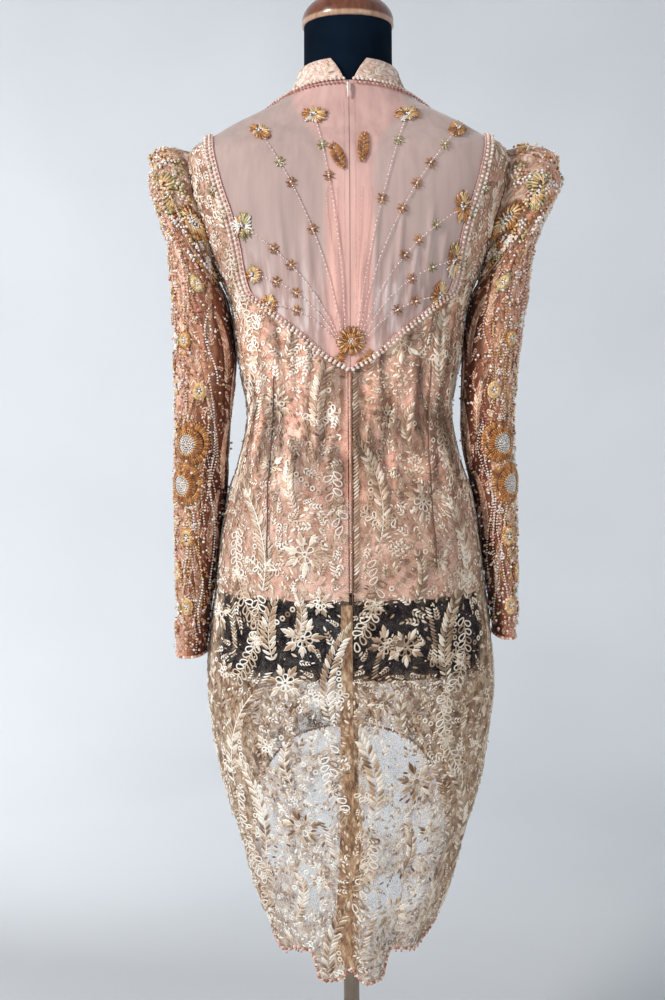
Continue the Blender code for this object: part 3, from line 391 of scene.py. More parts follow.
# ================================================================ materials
class Look:
    """A Principled material, with short calls for the nodes that feed it."""

    def __init__(self, name, roughness=0.5, metallic=0.0, **sockets):
        self.material = bpy.data.materials.new(name)
        self.material.use_nodes = True
        self.tree = self.material.node_tree
        self.shader = self.tree.nodes["Principled BSDF"]
        self.set("Roughness", roughness)
        self.set("Metallic", metallic)
        for socket, value in sockets.items():
            self.set(socket.replace("_", " "), value)

    def set(self, socket, value):
        self.shader.inputs[socket].default_value = value

    def feed(self, socket, source):
        self.tree.links.new(source, self.shader.inputs[socket])

    def node(self, kind, feeds=None, **values):
        made = self.tree.nodes.new(kind)
        for socket, value in values.items():
            made.inputs[socket].default_value = value
        for socket, source in (feeds or {}).items():
            self.tree.links.new(source, made.inputs[socket])
        return made

    def coordinates(self, kind="UV", stretch=(1.0, 1.0, 1.0), shift=(0.0, 0.0, 0.0)):
        source = self.node("ShaderNodeTexCoord").outputs[kind]
        mapping = self.node("ShaderNodeMapping", {"Vector": source})
        mapping.inputs["Scale"].default_value = stretch
        mapping.inputs["Location"].default_value = shift
        return mapping.outputs["Vector"]

    def noise(self, vector, size, detail=2.0, roughness=0.5, distortion=0.0):
        """Noise whose features are about size metres across."""
        made = self.node(
            "ShaderNodeTexNoise", {"Vector": vector},
            Scale=1 / size, Detail=detail, Roughness=roughness, Distortion=distortion,
        )
        return made.outputs["Fac"]

    def cells(self, vector, size, feature="DISTANCE_TO_EDGE"):
        made = self.tree.nodes.new("ShaderNodeTexVoronoi")
        made.feature = feature
        made.inputs["Scale"].default_value = 1 / size
        self.tree.links.new(vector, made.inputs["Vector"])
        return made.outputs["Distance"]

    def ramp(self, factor, stops, smooth=False):
        made = self.node("ShaderNodeValToRGB", {"Fac": factor})
        made.color_ramp.interpolation = "EASE" if smooth else "LINEAR"
        elements = made.color_ramp.elements
        while len(elements) < len(stops):
            elements.new(0.5)
        for element, (place, colour) in zip(elements, stops):
            element.position = place
            element.color = (*colour, 1.0) if len(colour) == 3 else colour
        return made.outputs["Color"]

    def math(self, operation, first, second=0.0):
        made = self.tree.nodes.new("ShaderNodeMath")
        made.operation = operation
        for index, value in enumerate((first, second)):
            if isinstance(value, (int, float)):
                made.inputs[index].default_value = value
            else:
                self.tree.links.new(value, made.inputs[index])
        return made.outputs["Value"]

    def times(self, first, second):
        return self.math("MULTIPLY", first, second)

    def plus(self, first, second):
        return self.math("ADD", first, second)

    def less(self, first, second):
        return self.math("SUBTRACT", first, second)

    def length(self, vector):
        made = self.node("ShaderNodeVectorMath", {"Vector": vector})
        made.operation = "LENGTH"
        return made.outputs["Value"]

    def between(self, value, low, high):
        """0 below low and 1 above high, with a soft step."""
        made = self.node("ShaderNodeMapRange", {"Value": value})
        made.interpolation_type = "SMOOTHSTEP"
        made.inputs["From Min"].default_value = low
        made.inputs["From Max"].default_value = high
        return made.outputs["Result"]

    def falling(self, value, low, high):
        """1 below low and 0 above high, with a soft step."""
        return self.less(1.0, self.between(value, low, high))

    def mix(self, factor, first, second, mode="MIX"):
        made = self.tree.nodes.new("ShaderNodeMix")
        made.data_type = "RGBA"
        made.blend_type = mode
        for socket, value in ((0, factor), (6, first), (7, second)):
            if isinstance(value, (int, float)):
                made.inputs[socket].default_value = value
            elif isinstance(value, tuple):
                made.inputs[socket].default_value = (*value, 1.0)
            else:
                self.tree.links.new(value, made.inputs[socket])
        return made.outputs[2]

    def painted_wrinkle_light(self, colour):
        """The colour with painted sheen and shade: long bright and dark streaks where the cloth is drawn in
        below the yoke.
        """
        height = self.part(self.coordinates("Object"), "Z")
        zone = self.times(self.between(height, 0.88, 1.00), self.falling(height, 1.12, 1.20))
        streaks = self.noise(self.coordinates("Object", (1.0, 1.0, 0.16)), 0.015, detail=3.0, distortion=0.4)
        tone = self.ramp(streaks, [
            (0.38, (0.36, 0.30, 0.26)), (0.48, (0.82, 0.80, 0.78)), (0.60, (1.45, 1.47, 1.50)),
        ])
        return self.mix(self.times(zone, 0.9), colour, self.mix(1.0, colour, tone, mode="MULTIPLY"))

    def bump(self, height, strength, distance):
        made = self.node("ShaderNodeBump", {"Height": height}, Strength=strength, Distance=distance)
        self.feed("Normal", made.outputs["Normal"])

    def part(self, vector, axis):
        made = self.node("ShaderNodeSeparateXYZ", {"Vector": vector})
        return made.outputs[axis]


def satin_look():
    look = Look("peach_satin_look", roughness=0.38, Sheen_Weight=0.3, Sheen_Roughness=0.4)
    place = look.coordinates("Object")
    crumple = look.noise(place, 0.030, detail=3.0, distortion=0.6)
    colour = look.ramp(crumple, [
        (0.30, (0.70, 0.33, 0.24)), (0.55, (0.83, 0.46, 0.36)), (0.75, (0.93, 0.62, 0.50)),
    ])
    pale = look.ramp(crumple, [
        (0.30, (0.78, 0.42, 0.32)), (0.55, (0.93, 0.60, 0.49)), (0.75, (1.0, 0.76, 0.65)),
    ])
    low = look.falling(look.part(place, "Z"), 0.870, 0.950)
    # Painted sheen and shade of the wrinkles below the yoke, over the satin's colour.
    look.feed("Base Color", look.painted_wrinkle_light(look.mix(low, colour, pale)))
    threads = look.noise(look.coordinates("UV", (1.0, 0.02, 1.0)), 0.0004, detail=1.0)
    look.bump(look.plus(crumple, look.times(threads, 0.05)), 0.35, 0.004)
    return look.material


GOLDEN_STOPS = [(0.38, (0.15, 0.062, 0.022)), (0.50, (0.42, 0.235, 0.115)), (0.61, (0.74, 0.54, 0.35))]
ZIP_LAP = {-1: 0.0115, 1: 0.0}


OVER_HIP_BOTTOM, OVER_HIP_TOP = (0.700, 0.742), (0.812, 0.830)  # where the net opens and closes again
SKIRT_WORK, BODICE_WORK, HIP_WORK = 0.84, 0.46, 0.06  # how closely the net is worked


def net_look(name, side, warm, mid, pale):
    """Lace's ground: fine net with denser worked patches; it shows what lies behind between its threads.

    The net's U is metres from the centre line and its V the height. Over the form's bare hip the net is open;
    below the form it is worked closely outside its open places, with doubled layers toward the side seam.
    It is worked least on the lap beside the zip, where the satin shows.
    """
    look = Look(name, roughness=0.62, Sheen_Weight=0.15, Sheen_Roughness=0.5)
    place = look.coordinates(shift=(2.5 * side, 2.5 * side, 0.0))
    plain = look.coordinates()
    across, height = look.part(plain, "X"), look.part(plain, "Y")
    net = look.cells(place, 0.0023)
    threads = look.falling(net, 0.04, 0.12)
    worked = look.between(look.noise(place, 0.012, detail=4.0, roughness=0.65, distortion=1.2), 0.44, 0.54)
    veins = look.between(look.cells(place, 0.0050), 0.02, 0.10)
    wobble = look.times(look.less(look.noise(place, 0.028, detail=3.0), 0.5), 1.6)
    nearest = None
    for spot in OPEN_PLACES[side]:
        stretch = (1 / spot.half_width, 1 / spot.half_height, 0.0)
        shift = (-spot.x / spot.half_width, -spot.y / spot.half_height, 0.0)
        away = look.length(look.coordinates("UV", stretch, shift))
        nearest = away if nearest is None else look.math("MINIMUM", nearest, away)
    closed = look.between(look.plus(nearest, wobble), 0.75, 1.25)
    skirt = look.falling(height, *OVER_HIP_BOTTOM)
    bodice = look.between(height, *OVER_HIP_TOP)
    fullness = look.plus(look.times(skirt, SKIRT_WORK), look.times(bodice, BODICE_WORK))
    fullness = look.times(look.plus(fullness, HIP_WORK), closed)
    lap = look.times(look.falling(across, ZIP_LAP[side] - 0.003, ZIP_LAP[side]), bodice)
    fullness = look.times(fullness, look.less(1.0, look.times(lap, 0.95)))
    patchy = look.plus(0.50, look.times(look.times(worked, veins), 0.50))
    filled = look.times(fullness, patchy)
    strayed = look.plus(across, look.times(wobble, 0.02))
    strayed = look.plus(strayed, look.times(skirt, 0.046))
    doubled = look.times(look.between(strayed, 0.158, 0.190), look.falling(height, 0.81, 0.85))
    cover = look.times(doubled, 0.86)
    beyond_hip = look.math("MAXIMUM", skirt, bodice)
    thread_cover = look.times(threads, look.plus(0.13, look.times(beyond_hip, 0.36)))
    alpha = look.math("MAXIMUM", look.math("MAXIMUM", filled, thread_cover), cover)
    look.feed("Alpha", alpha)
    drawn_down = look.coordinates("UV", (1.0, 0.55, 1.0), (side, 0.0, 0.0))
    tone = look.noise(drawn_down, 0.011, detail=7.0, roughness=0.8)
    shade = tuple(0.45 * part for part in warm)
    colour = look.ramp(tone, [(0.41, shade), (0.455, warm), (0.50, mid), (0.565, pale)])
    golden = look.ramp(tone, GOLDEN_STOPS)
    # Painted sheen and shade of the wrinkles below the yoke, over the net's colour.
    look.feed("Base Color", look.painted_wrinkle_light(look.mix(look.times(doubled, 0.6), colour, golden)))
    raised = look.plus(filled, look.times(threads, 0.4))
    look.bump(look.plus(raised, tone), 0.8, 0.0016)
    return look.material


def mottled_look(name, stops, size, stretch=(1.0, 1.0, 1.0), bump=None, kind="Object", noise=None, **sockets):
    """A look coloured by one noise, kept as its tone; bump is the strength and distance of its relief."""
    look = Look(name, **sockets)
    look.tone = look.noise(look.coordinates(kind, stretch), size, **(noise or {}))
    look.feed("Base Color", look.ramp(look.tone, stops))
    if bump:
        look.bump(look.tone, *bump)
    return look


def thread_look(name, stops, roughness, quietness):
    """Raised cords and petals: short glossy stitches, each island of its own tone.

    Quietness draws the tones together on the bodice, where the lace lies over satin of nearly its own colour.
    """
    look = Look(name, roughness=roughness, Sheen_Weight=0.2)
    island = look.node("ShaderNodeNewGeometry").outputs["Random Per Island"]
    patch = look.noise(look.coordinates("Object"), 0.045, detail=2.0)
    tone = look.plus(look.times(island, 0.45), look.times(patch, 0.60))
    height = look.part(look.coordinates("Object"), "Z")
    quiet = look.times(look.between(height, 0.835, 0.885), quietness)
    quiet_tone = look.ramp(patch, [(0.40, (0.50, 0.30, 0.19)), (0.60, (0.76, 0.55, 0.41))])
    # Painted sheen and shade of the wrinkles below the yoke, over the threads' colour.
    look.feed("Base Color", look.painted_wrinkle_light(look.mix(quiet, look.ramp(tone, stops), quiet_tone)))
    stitches = look.noise(look.coordinates("Object"), 0.0009, detail=1.0)
    look.bump(stitches, 0.5, 0.0004)
    return look.material


def bead_look(name, stops):
    look = Look(name, roughness=0.16)
    island = look.node("ShaderNodeNewGeometry").outputs["Random Per Island"]
    look.feed("Base Color", look.ramp(island, stops))
    return look.material


def tulle_look():
    """Matte tulle in layers; the satin facing shows through it beside the zip and under the neck."""
    look = Look("pink_tulle_look", roughness=0.72, Sheen_Weight=0.35, Sheen_Roughness=0.45)
    place = look.coordinates("Object")
    across = look.math("ABSOLUTE", look.part(place, "X"))
    height = look.part(place, "Z")
    widening = look.times(look.between(height, 1.315, 1.405), 0.040)
    edge = look.less(across, widening)
    on_front = look.between(look.part(place, "Y"), -0.005, 0.005)
    strayed = look.plus(edge, look.times(look.noise(place, 0.030), 0.006))
    outside = look.math("MAXIMUM", look.between(strayed, 0.0235, 0.0355), on_front)
    streaks = look.noise(look.coordinates("Object", (1.0, 1.0, 0.05)), 0.009, detail=2.0)
    low = look.falling(height, 1.10, 1.26)
    lit = look.ramp(streaks, [(0.30, (0.395, 0.290, 0.262)), (0.70, (0.465, 0.342, 0.312))])
    unlit = look.ramp(streaks, [(0.30, (0.46, 0.335, 0.302)), (0.70, (0.54, 0.395, 0.360))])
    grey = look.mix(look.between(look.part(place, "X"), -0.080, 0.030), lit, unlit)
    # Painted highlights and shade of the slack vertical folds low on the yoke: whitish on their ridges, dark
    # in their valleys.
    folds = look.noise(look.coordinates("Object", (1.0, 1.0, 0.075)), 0.0080, detail=2.0)
    painted_fold_light = look.ramp(folds, [
        (0.38, (0.40, 0.235, 0.205)), (0.50, (0.54, 0.37, 0.34)), (0.64, (0.90, 0.78, 0.77)),
    ])
    grey_and_fold_light = look.mix(look.times(low, 0.72), grey, painted_fold_light)
    strip = look.ramp(streaks, [(0.30, (0.66, 0.38, 0.33)), (0.70, (0.86, 0.52, 0.45))])
    high_strip = look.ramp(streaks, [(0.30, (0.53, 0.315, 0.285)), (0.70, (0.64, 0.41, 0.37))])
    strip = look.mix(look.between(height, 1.24, 1.34), strip, high_strip)
    look.feed("Base Color", look.mix(outside, strip, grey_and_fold_light))
    weave = look.cells(look.coordinates(), 0.0011)
    look.bump(weave, 0.25, 0.0003)
    return look.material


def sleeve_look():
    """The sleeves' cloth: salmon satin outside, gold lace behind, and toward the body a rust tone deepened
    with painted shade, where the sleeve faces the body away from the light.
    """
    look = Look("sleeve_cloth_look", roughness=0.55, Specular_IOR_Level=0.3, Sheen_Weight=0.06)
    place = look.coordinates()
    around = look.part(place, "X")
    wobble = look.noise(look.coordinates("UV", (1.0, 0.25, 1.0)), 0.035, detail=3.0)
    turned = look.plus(around, look.times(look.less(wobble, 0.5), 0.035))
    upper = look.times(look.between(look.part(place, "Y"), 0.300, 0.360), 0.010)
    share = look.math("DIVIDE", look.less(turned, upper), SLEEVE_UV_WIDTH)
    # From 0.25 to 0.60 round the sleeve: the rust side toward the body, painted near black as the shade
    # between sleeve and body.
    colour = look.ramp(share, [
        (0.00, (0.74, 0.42, 0.33)),
        (0.10, (0.80, 0.50, 0.40)),
        (0.18, (0.60, 0.33, 0.23)),
        (0.25, (0.40, 0.17, 0.10)),
        (0.32, (0.17, 0.050, 0.024)),
        (0.48, (0.10, 0.026, 0.013)),
        (0.60, (0.20, 0.065, 0.034)),
        (0.72, (0.46, 0.24, 0.15)),
        (0.86, (0.62, 0.38, 0.27)),
        (1.00, (0.66, 0.36, 0.27)),
    ])
    patches = look.noise(place, 0.010, detail=4.0, roughness=0.7, distortion=0.8)
    lace = look.ramp(patches, [(0.42, (0.62, 0.56, 0.50)), (0.56, (1.0, 0.96, 0.88))])
    laced = look.mix(0.55, colour, lace, mode="MULTIPLY")
    # Long vertical streaks: partly the lace's own pale runs, partly painted shade in the brown gaps between
    # them.
    drawn_down = look.coordinates("UV", (1.0, 0.16, 1.0))
    streaks = look.noise(drawn_down, 0.010, detail=4.0, roughness=0.7, distortion=0.6)
    tone = look.ramp(streaks, [
        (0.40, (0.40, 0.29, 0.24)), (0.50, (0.95, 0.90, 0.88)), (0.62, (1.40, 1.42, 1.42)),
    ])
    streaked = look.mix(0.85, laced, tone, mode="MULTIPLY")
    head = look.between(look.part(place, "Y"), 0.500, 0.545)
    beige = look.ramp(patches, [
        (0.42, (0.17, 0.085, 0.050)), (0.53, (0.52, 0.37, 0.28)), (0.63, (0.84, 0.72, 0.62)),
    ])
    look.feed("Base Color", look.mix(look.times(head, 0.85), streaked, beige))
    look.bump(look.plus(patches, look.times(look.cells(place, 0.0024), 0.6)), 0.7, 0.0010)
    return look.material


def jersey_look():
    stops = [(0.3, (0.0016, 0.0056, 0.0130)), (0.7, (0.0034, 0.0100, 0.0210))]
    look = mottled_look("black_jersey_look", stops, 0.05, noise={"detail": 3.0}, roughness=0.9,
                        Specular_IOR_Level=0.06)
    look.bump(look.noise(look.coordinates("Object", (1.0, 1.0, 0.35)), 0.0009, detail=1.0), 0.35, 0.0003)
    return look.material


def wood_look():
    look = Look("lacquered_wood_look", roughness=0.28, Coat_Weight=0.5, Coat_Roughness=0.12)
    place = look.coordinates("Object", (1.0, 1.0, 0.35))
    rings = look.noise(place, 0.010, detail=4.0, roughness=0.6, distortion=2.0)
    brown = look.ramp(rings, [(0.35, (0.095, 0.024, 0.009)), (0.65, (0.20, 0.062, 0.026))])
    height = look.part(look.coordinates("Object"), "Z")
    rim = look.between(height, TORSO_TOP + 0.0045, TORSO_TOP + 0.0075)
    tan = look.ramp(rings, [(0.35, (0.36, 0.20, 0.12)), (0.65, (0.52, 0.33, 0.22))])
    look.feed("Base Color", look.mix(rim, tan, brown))
    look.bump(rings, 0.12, 0.0005)
    return look.material


def chrome_look():
    stops = [(0.3, (0.22, 0.165, 0.125)), (0.7, (0.36, 0.29, 0.23))]
    look = mottled_look("chrome_look", stops, 0.020, (1.0, 1.0, 0.2), noise={"detail": 3.0}, metallic=1.0)
    look.feed("Roughness", look.ramp(look.tone, [(0.3, (0.10,) * 3), (0.7, (0.20,) * 3)]))
    return look.material


# ================================================================ meshes
SLEEVE_UV_WIDTH = 0.19


def add_mesh(name, vertices, faces, materials, uvs=None, material_index=None, smooth=True):
    """An object from arrays: vertices (n, 3), faces (m, corners) and each vertex's UV place in metres."""
    mesh = bpy.data.meshes.new(name)
    corners = faces.shape[1]
    mesh.vertices.add(len(vertices))
    mesh.vertices.foreach_set("co", np.ascontiguousarray(vertices, np.float32).ravel())
    mesh.loops.add(faces.size)
    mesh.loops.foreach_set("vertex_index", np.ascontiguousarray(faces, np.int32).ravel())
    mesh.polygons.add(len(faces))
    mesh.polygons.foreach_set("loop_start", np.arange(0, faces.size, corners, dtype=np.int32))
    mesh.polygons.foreach_set("use_smooth", np.full(len(faces), smooth))
    if uvs is not None:
        layer = mesh.uv_layers.new(name="metres")
        layer.data.foreach_set("uv", np.ascontiguousarray(uvs[faces.ravel()], np.float32).ravel())
    for material in materials:
        mesh.materials.append(material)
    if material_index is not None:
        mesh.polygons.foreach_set("material_index", np.ascontiguousarray(material_index, np.int32))
    mesh.validate()
    mesh.update()
    made = bpy.data.objects.new(name, mesh)
    bpy.context.scene.collection.objects.link(made)
    return made


def grid_faces(rows, columns, wrapped=False):
    across = columns if wrapped else columns - 1
    row, column = np.meshgrid(np.arange(rows - 1), np.arange(across), indexing="ij")
    here, right = row * columns + column, row * columns + (column + 1) % columns
    return np.stack((here, right, right + columns, here + columns), axis=-1).reshape(-1, 4)


def grid_uvs(points):
    """UV places of a grid of points, in metres along its middle row and its columns."""
    steps_up = np.linalg.norm(np.diff(points, axis=0), axis=-1).mean(axis=1)
    middle = points[len(points) // 2]
    steps_across = np.linalg.norm(np.diff(middle, axis=0), axis=-1)
    up = np.concatenate(([0.0], np.cumsum(steps_up)))
    across = np.concatenate(([0.0], np.cumsum(steps_across)))
    return np.stack(np.meshgrid(across, up), axis=-1).reshape(-1, 2)


def sheet_mesh(name, points, material, wrapped=False, uvs=None):
    rows, columns = points.shape[:2]
    if uvs is None:
        uvs = grid_uvs(points)
    return add_mesh(name, points.reshape(-1, 3), grid_faces(rows, columns, wrapped), [material], uvs)


def turned_mesh(name, profile, material, steps=96):
    """A surface turned about the upright axis from rows of radius and height, from the bottom up."""
    profile = np.array(profile, float)
    turns = np.linspace(0, FULL_TURN, steps, endpoint=False)
    radius, height = profile[:, :1], np.broadcast_to(profile[:, 1:], (len(profile), steps))
    points = np.stack((radius * np.cos(turns), radius * np.sin(turns), height), axis=-1)
    return sheet_mesh(name, points, material, wrapped=True)


def thicken(made, thickness, offset=0.0):
    solidify = made.modifiers.new("Wall", "SOLIDIFY")
    solidify.thickness = thickness
    solidify.offset = offset
    return made


def on_form(made, slot_name, *nodes):
    """Put a piece on the fixed body and hide the solids that it stands for; its record material slot is not
    used.
    """
    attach(made, ON_FORM)
    if nodes:
        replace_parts(made, *nodes)
    return made


# ================================================================ dress form
def torso_heights():
    dense = np.arange(TORSO_BOTTOM, 1.30, 0.012)
    shoulder = np.arange(1.30, 1.42, 0.0030)
    neck = np.linspace(1.42, TORSO_TOP, 16)
    return np.concatenate((dense, shoulder, neck))


def build_torso():
    columns = 88
    angles = np.linspace(0, FULL_TURN, columns, endpoint=False)
    points = figure_points(angles[None, :], torso_heights()[:, None], -TORSO_EASE)
    bottom = points[:1] * (1, 1, 0) * 0.96 + (0, 0, TORSO_BOTTOM)
    centre = np.broadcast_to((0.0, 0.0, TORSO_BOTTOM), (1, columns, 3))
    made = sheet_mesh("form_torso", np.concatenate((centre, bottom, points)), jersey_look(), wrapped=True)
    return on_form(made, "black_jersey", "dress_form_torso")


def build_hard_parts(nodes):
    radius, rim, height = 0.0545, 0.0060, 0.0390
    bottom = TORSO_TOP + 0.0003
    turns = np.linspace(QUARTER_TURN, 0, 22)
    dome = [(radius * math.sin(turn), bottom + rim + (height - rim) * math.cos(turn)) for turn in turns]
    profile = [(0.0, bottom), (radius - 0.0012, bottom), (radius, bottom + 0.0012)] + dome
    on_form(turned_mesh("neck_cap", profile, wood_look()), "lacquered_wood", "dress_form_neck_cap")
    profile = [
        (0.0000, 0.0000), (0.1738, 0.0000), (0.1750, 0.0012), (0.1750, 0.0048), (0.1740, 0.0066),
        (0.1724, 0.0080), (0.1650, 0.0096), (0.1575, 0.0108), (0.1300, 0.0146), (0.1050, 0.0172),
        (0.0700, 0.0190), (0.0330, 0.0200), (0.0240, 0.0206), (0.0222, 0.0218), (0.0220, 0.0230),
        (0.0220, 0.0318), (0.0215, 0.0332), (0.0202, 0.0340), (0.0000, 0.0340),
    ]
    stops = [(0.3, (0.013, 0.013, 0.014)), (0.7, (0.024, 0.024, 0.026))]
    paint = mottled_look("base_paint_look", stops, 0.0015, bump=(0.25, 0.0004), roughness=0.42,
                         Coat_Weight=0.2)
    on_form(turned_mesh("form_base", profile, paint.material), "base_paint", "dress_form_base")
    nodes["dress_form_pole"].data.materials[0] = chrome_look()


# ================================================================ cloth shells
PanelSpan = namedtuple("PanelSpan", "inner outer")
YOKE_OVERLAY, CENTRE_GAP = 0.0023, 0.0004
CHAIN_GAP = 0.0046


def panel_span(height, centre_gap):
    """Inner and outer angles of a half panel at these heights."""
    inner = seam_angle(height, centre_gap)
    beside_yoke = yoke_edge_angle(height) + seam_angle(height, 2 * YOKE_OVERLAY)
    inner = np.where(height > YOKE_POINT_HEIGHT, np.maximum(inner, beside_yoke), inner)
    return PanelSpan(inner, side_angle(height) - seam_angle(height))


def body_rows(bottom):
    """Heights of a panel's rows above bottom, close together round the armhole and the yoke's corner."""
    armhole = ARMHOLE_HEIGHT - ARMHOLE_RISE * np.cos(np.linspace(0, math.pi, 41))
    yoke_v = np.arange(YOKE_POINT_HEIGHT, 1.204, 0.0035)
    low = np.arange(bottom, YOKE_POINT_HEIGHT - 0.003, 0.006)
    return np.concatenate((low, yoke_v, armhole, (1.348, 1.352, SHOULDER_HEIGHT - 0.0001)))


def panel_points(face, side, rows, columns, centre_gap, lift, hemmed):
    """Grid of a half panel's points; a hemmed panel goes on down from the lowest row to the scalloped hem."""
    heights = np.broadcast_to(rows[:, None], (len(rows), columns))
    shares = np.linspace(0, 1, columns)
    if (side > 0) != (face == "back"):
        shares = shares[::-1]
    span = panel_span(heights, centre_gap)
    angles = to_face(blend(span.inner, span.outer, shares), face, side)
    if hemmed:
        drop = np.linspace(0, 1, 56)[:, None]
        skirt_angles = np.broadcast_to(angles[:1], (len(drop), columns))
        skirt = blend(hem_height(skirt_angles), SKIRT_TOP, drop)
        heights = np.concatenate((skirt[:-1], heights))
        angles = np.concatenate((skirt_angles[:-1], angles))
    return cloth_points(angles, heights, lift)


def panel_uvs(points):
    """UV places of a panel: metres from the centre line, and the height."""
    across = np.linalg.norm(np.diff(points, axis=1), axis=-1)
    run = np.concatenate((np.zeros((len(points), 1)), np.cumsum(across, axis=1)), axis=1)
    if abs(points[0, 0, 0]) > abs(points[0, -1, 0]):
        run = run[:, -1:] - run
    return np.stack((run, points[..., 2]), axis=-1).reshape(-1, 2)


def build_lining(looks):
    lift, columns = LINING_LIFT + SATIN_PROUD, 44
    for face in ("back", "front"):
        gap = CHAIN_GAP if face == "back" else CENTRE_GAP
        for word, side in SIDES.items():
            points = panel_points(face, side, body_rows(LINING_HEM), columns, gap, lift, False)
            points[0, :, 2] += 0.0012 * np.sin(np.arange(columns) * 1.1)
            name = "satin_lining_%s_%s" % (face, word)
            made = sheet_mesh(name, points, looks["satin"], uvs=panel_uvs(points))
            on_form(made, "peach_satin", "lining_%s_%s" % (face, word))


def build_lace_grounds(looks):
    for face, columns, tall, filled in (("back", 72, 1.04, 0.61), ("front", 60, 0.94, 0.545)):
        for word, side in SIDES.items():
            points = panel_points(face, side, body_rows(SKIRT_TOP), columns, CENTRE_GAP, NET_LIFT, True)
            name = "lace_ground_%s_%s" % (face, word)
            look = looks["net_%s" % word]
            made = sheet_mesh(name, points, look, uvs=panel_uvs(points))
            on_form(made, "gold_lace", "lace_%s_%s" % (face, word))


# ---------------------------------------------------------------- yoke
YOKE_CREASES = {
    "back": [Crease(*row) for row in (
        (-0.020, 1.250, -0.010, 1.098, 0.0026, 0.0022), (-0.034, 1.215, -0.022, 1.105, 0.0027, 0.0024),
        (-0.050, 1.260, -0.035, 1.112, 0.0030, 0.0022), (-0.064, 1.225, -0.050, 1.122, 0.0029, 0.0024),
        (-0.080, 1.275, -0.064, 1.135, 0.0034, 0.0020), (-0.098, 1.245, -0.082, 1.150, 0.0031, 0.0022),
        (-0.112, 1.290, -0.100, 1.168, 0.0038, 0.0018), (0.016, 1.235, 0.009, 1.098, 0.0026, 0.0022),
        (0.031, 1.270, 0.021, 1.105, 0.0029, 0.0022), (0.047, 1.220, 0.034, 1.112, 0.0027, 0.0024),
        (0.060, 1.285, 0.048, 1.120, 0.0032, 0.0020), (0.077, 1.235, 0.062, 1.132, 0.0031, 0.0024),
        (0.095, 1.280, 0.080, 1.148, 0.0034, 0.0020), (0.110, 1.250, 0.099, 1.166, 0.0036, 0.0019),
    )],
    "front": [Crease(*row) for row in (
        (-0.090, 1.240, -0.060, 1.135, 0.0038, 0.0020), (-0.062, 1.265, -0.040, 1.118, 0.0036, 0.0022),
        (-0.036, 1.225, -0.022, 1.105, 0.0034, 0.0020), (-0.008, 1.250, -0.004, 1.095, 0.0034, 0.0022),
        (0.024, 1.235, 0.014, 1.102, 0.0036, 0.0020), (0.050, 1.270, 0.034, 1.112, 0.0037, 0.0022),
        (0.082, 1.245, 0.058, 1.132, 0.0038, 0.0020),
    )],
}


YOKE_FOOT_GAP, YOKE_TOP_GAP, SHOULDER_SNAP = 0.0006, 0.0003, 0.0009


def yoke_points(face, side, from_centre, share):
    """Points of the yoke, from its centre, 0, to its edge, 1, and from the V, 0, to the collar, 1."""
    corner = yoke_edge_angle(YOKE_CORNER_HEIGHT)
    v_heights = np.linspace(YOKE_POINT_HEIGHT, YOKE_CORNER_HEIGHT, 400)
    bottom = np.interp(from_centre * corner, yoke_edge_angle(v_heights), v_heights) + YOKE_FOOT_GAP
    top = collar_base_height(to_face(from_centre * QUARTER_TURN, face, side)) - YOKE_TOP_GAP
    height = blend(bottom, top, share)
    height = np.where(np.abs(height - SHOULDER_HEIGHT) < SHOULDER_SNAP, SHOULDER_HEIGHT, height)
    widest = np.where(height <= YOKE_CORNER_HEIGHT, corner, yoke_edge_angle(height))
    angle = from_centre * (widest - seam_angle(height))
    if face == "back":
        angle = np.maximum(angle, seam_angle(height, CENTRE_GAP))
    angle = to_face(angle, face, side)
    across = figure_surface(angle, height)[..., 0]
    return figure_points(angle, height, YOKE_LIFT + crease_lift(YOKE_CREASES[face], across, height))


def yoke_share_rows():
    return np.concatenate((np.linspace(0, 0.80, 61), np.linspace(0.80, 1.0, 30)[1:]))


def build_yoke(looks):
    share = yoke_share_rows()[:, None]
    for word, side in SIDES.items():
        from_centre = np.linspace(0, 1, 64)[None, ::side]
        from_centre, rows = np.broadcast_arrays(from_centre, share)
        points = yoke_points("back", side, from_centre, rows)
        made = sheet_mesh("tulle_yoke_back_%s" % word, points, looks["tulle"])
        on_form(made, "pink_tulle", "yoke_back_%s" % word)
    halves = []
    for side in (1, -1):
        from_centre = np.linspace(0, 1, 56)[None, ::-side]
        from_centre, rows = np.broadcast_arrays(from_centre, share)
        halves.append(yoke_points("front", side, from_centre, rows))
    points = np.concatenate((halves[0], halves[1][:, 1:]), axis=1)
    made = sheet_mesh("tulle_yoke_front", points, looks["tulle"])
    on_form(made, "pink_tulle", "yoke_front")


def build_facings(looks):
    heights = np.linspace(1.0862, 1.408, 90)[:, None]
    width, chain = 0.0270, 0.0020
    for word, side in SIDES.items():
        inner = angle_at(chain + 0.0003, heights)
        room = yoke_edge_angle(heights) - seam_angle(heights, 2 * YOKE_OVERLAY)
        least = inner + seam_angle(heights, 0.0040)
        outer = np.maximum(np.minimum(angle_at(width, heights), room), least)
        angle = side * blend(inner, outer, np.linspace(0, 1, 8)[None, ::side])
        points = figure_points(angle, heights, FACING_LIFT + SATIN_PROUD)
        made = sheet_mesh("satin_facing_%s" % word, points, looks["satin"])
        on_form(made, "peach_satin", "facing_back_%s" % word)


def collar_points(share, rise, foot, lift):
    """Points of the collar: share runs round it from one end, and rise up it from foot over its base."""
    split = blend(COLLAR_SPLIT_BASE, COLLAR_SPLIT_TOP, rise ** 1.4)
    angle = blend(split, FULL_TURN - split, share)
    top = COLLAR_TOP + COLLAR_TOP_TILT * np.cos(angle)
    return figure_points(angle, blend(collar_base_height(angle) + foot, top, rise), lift + 0.0022 * rise)


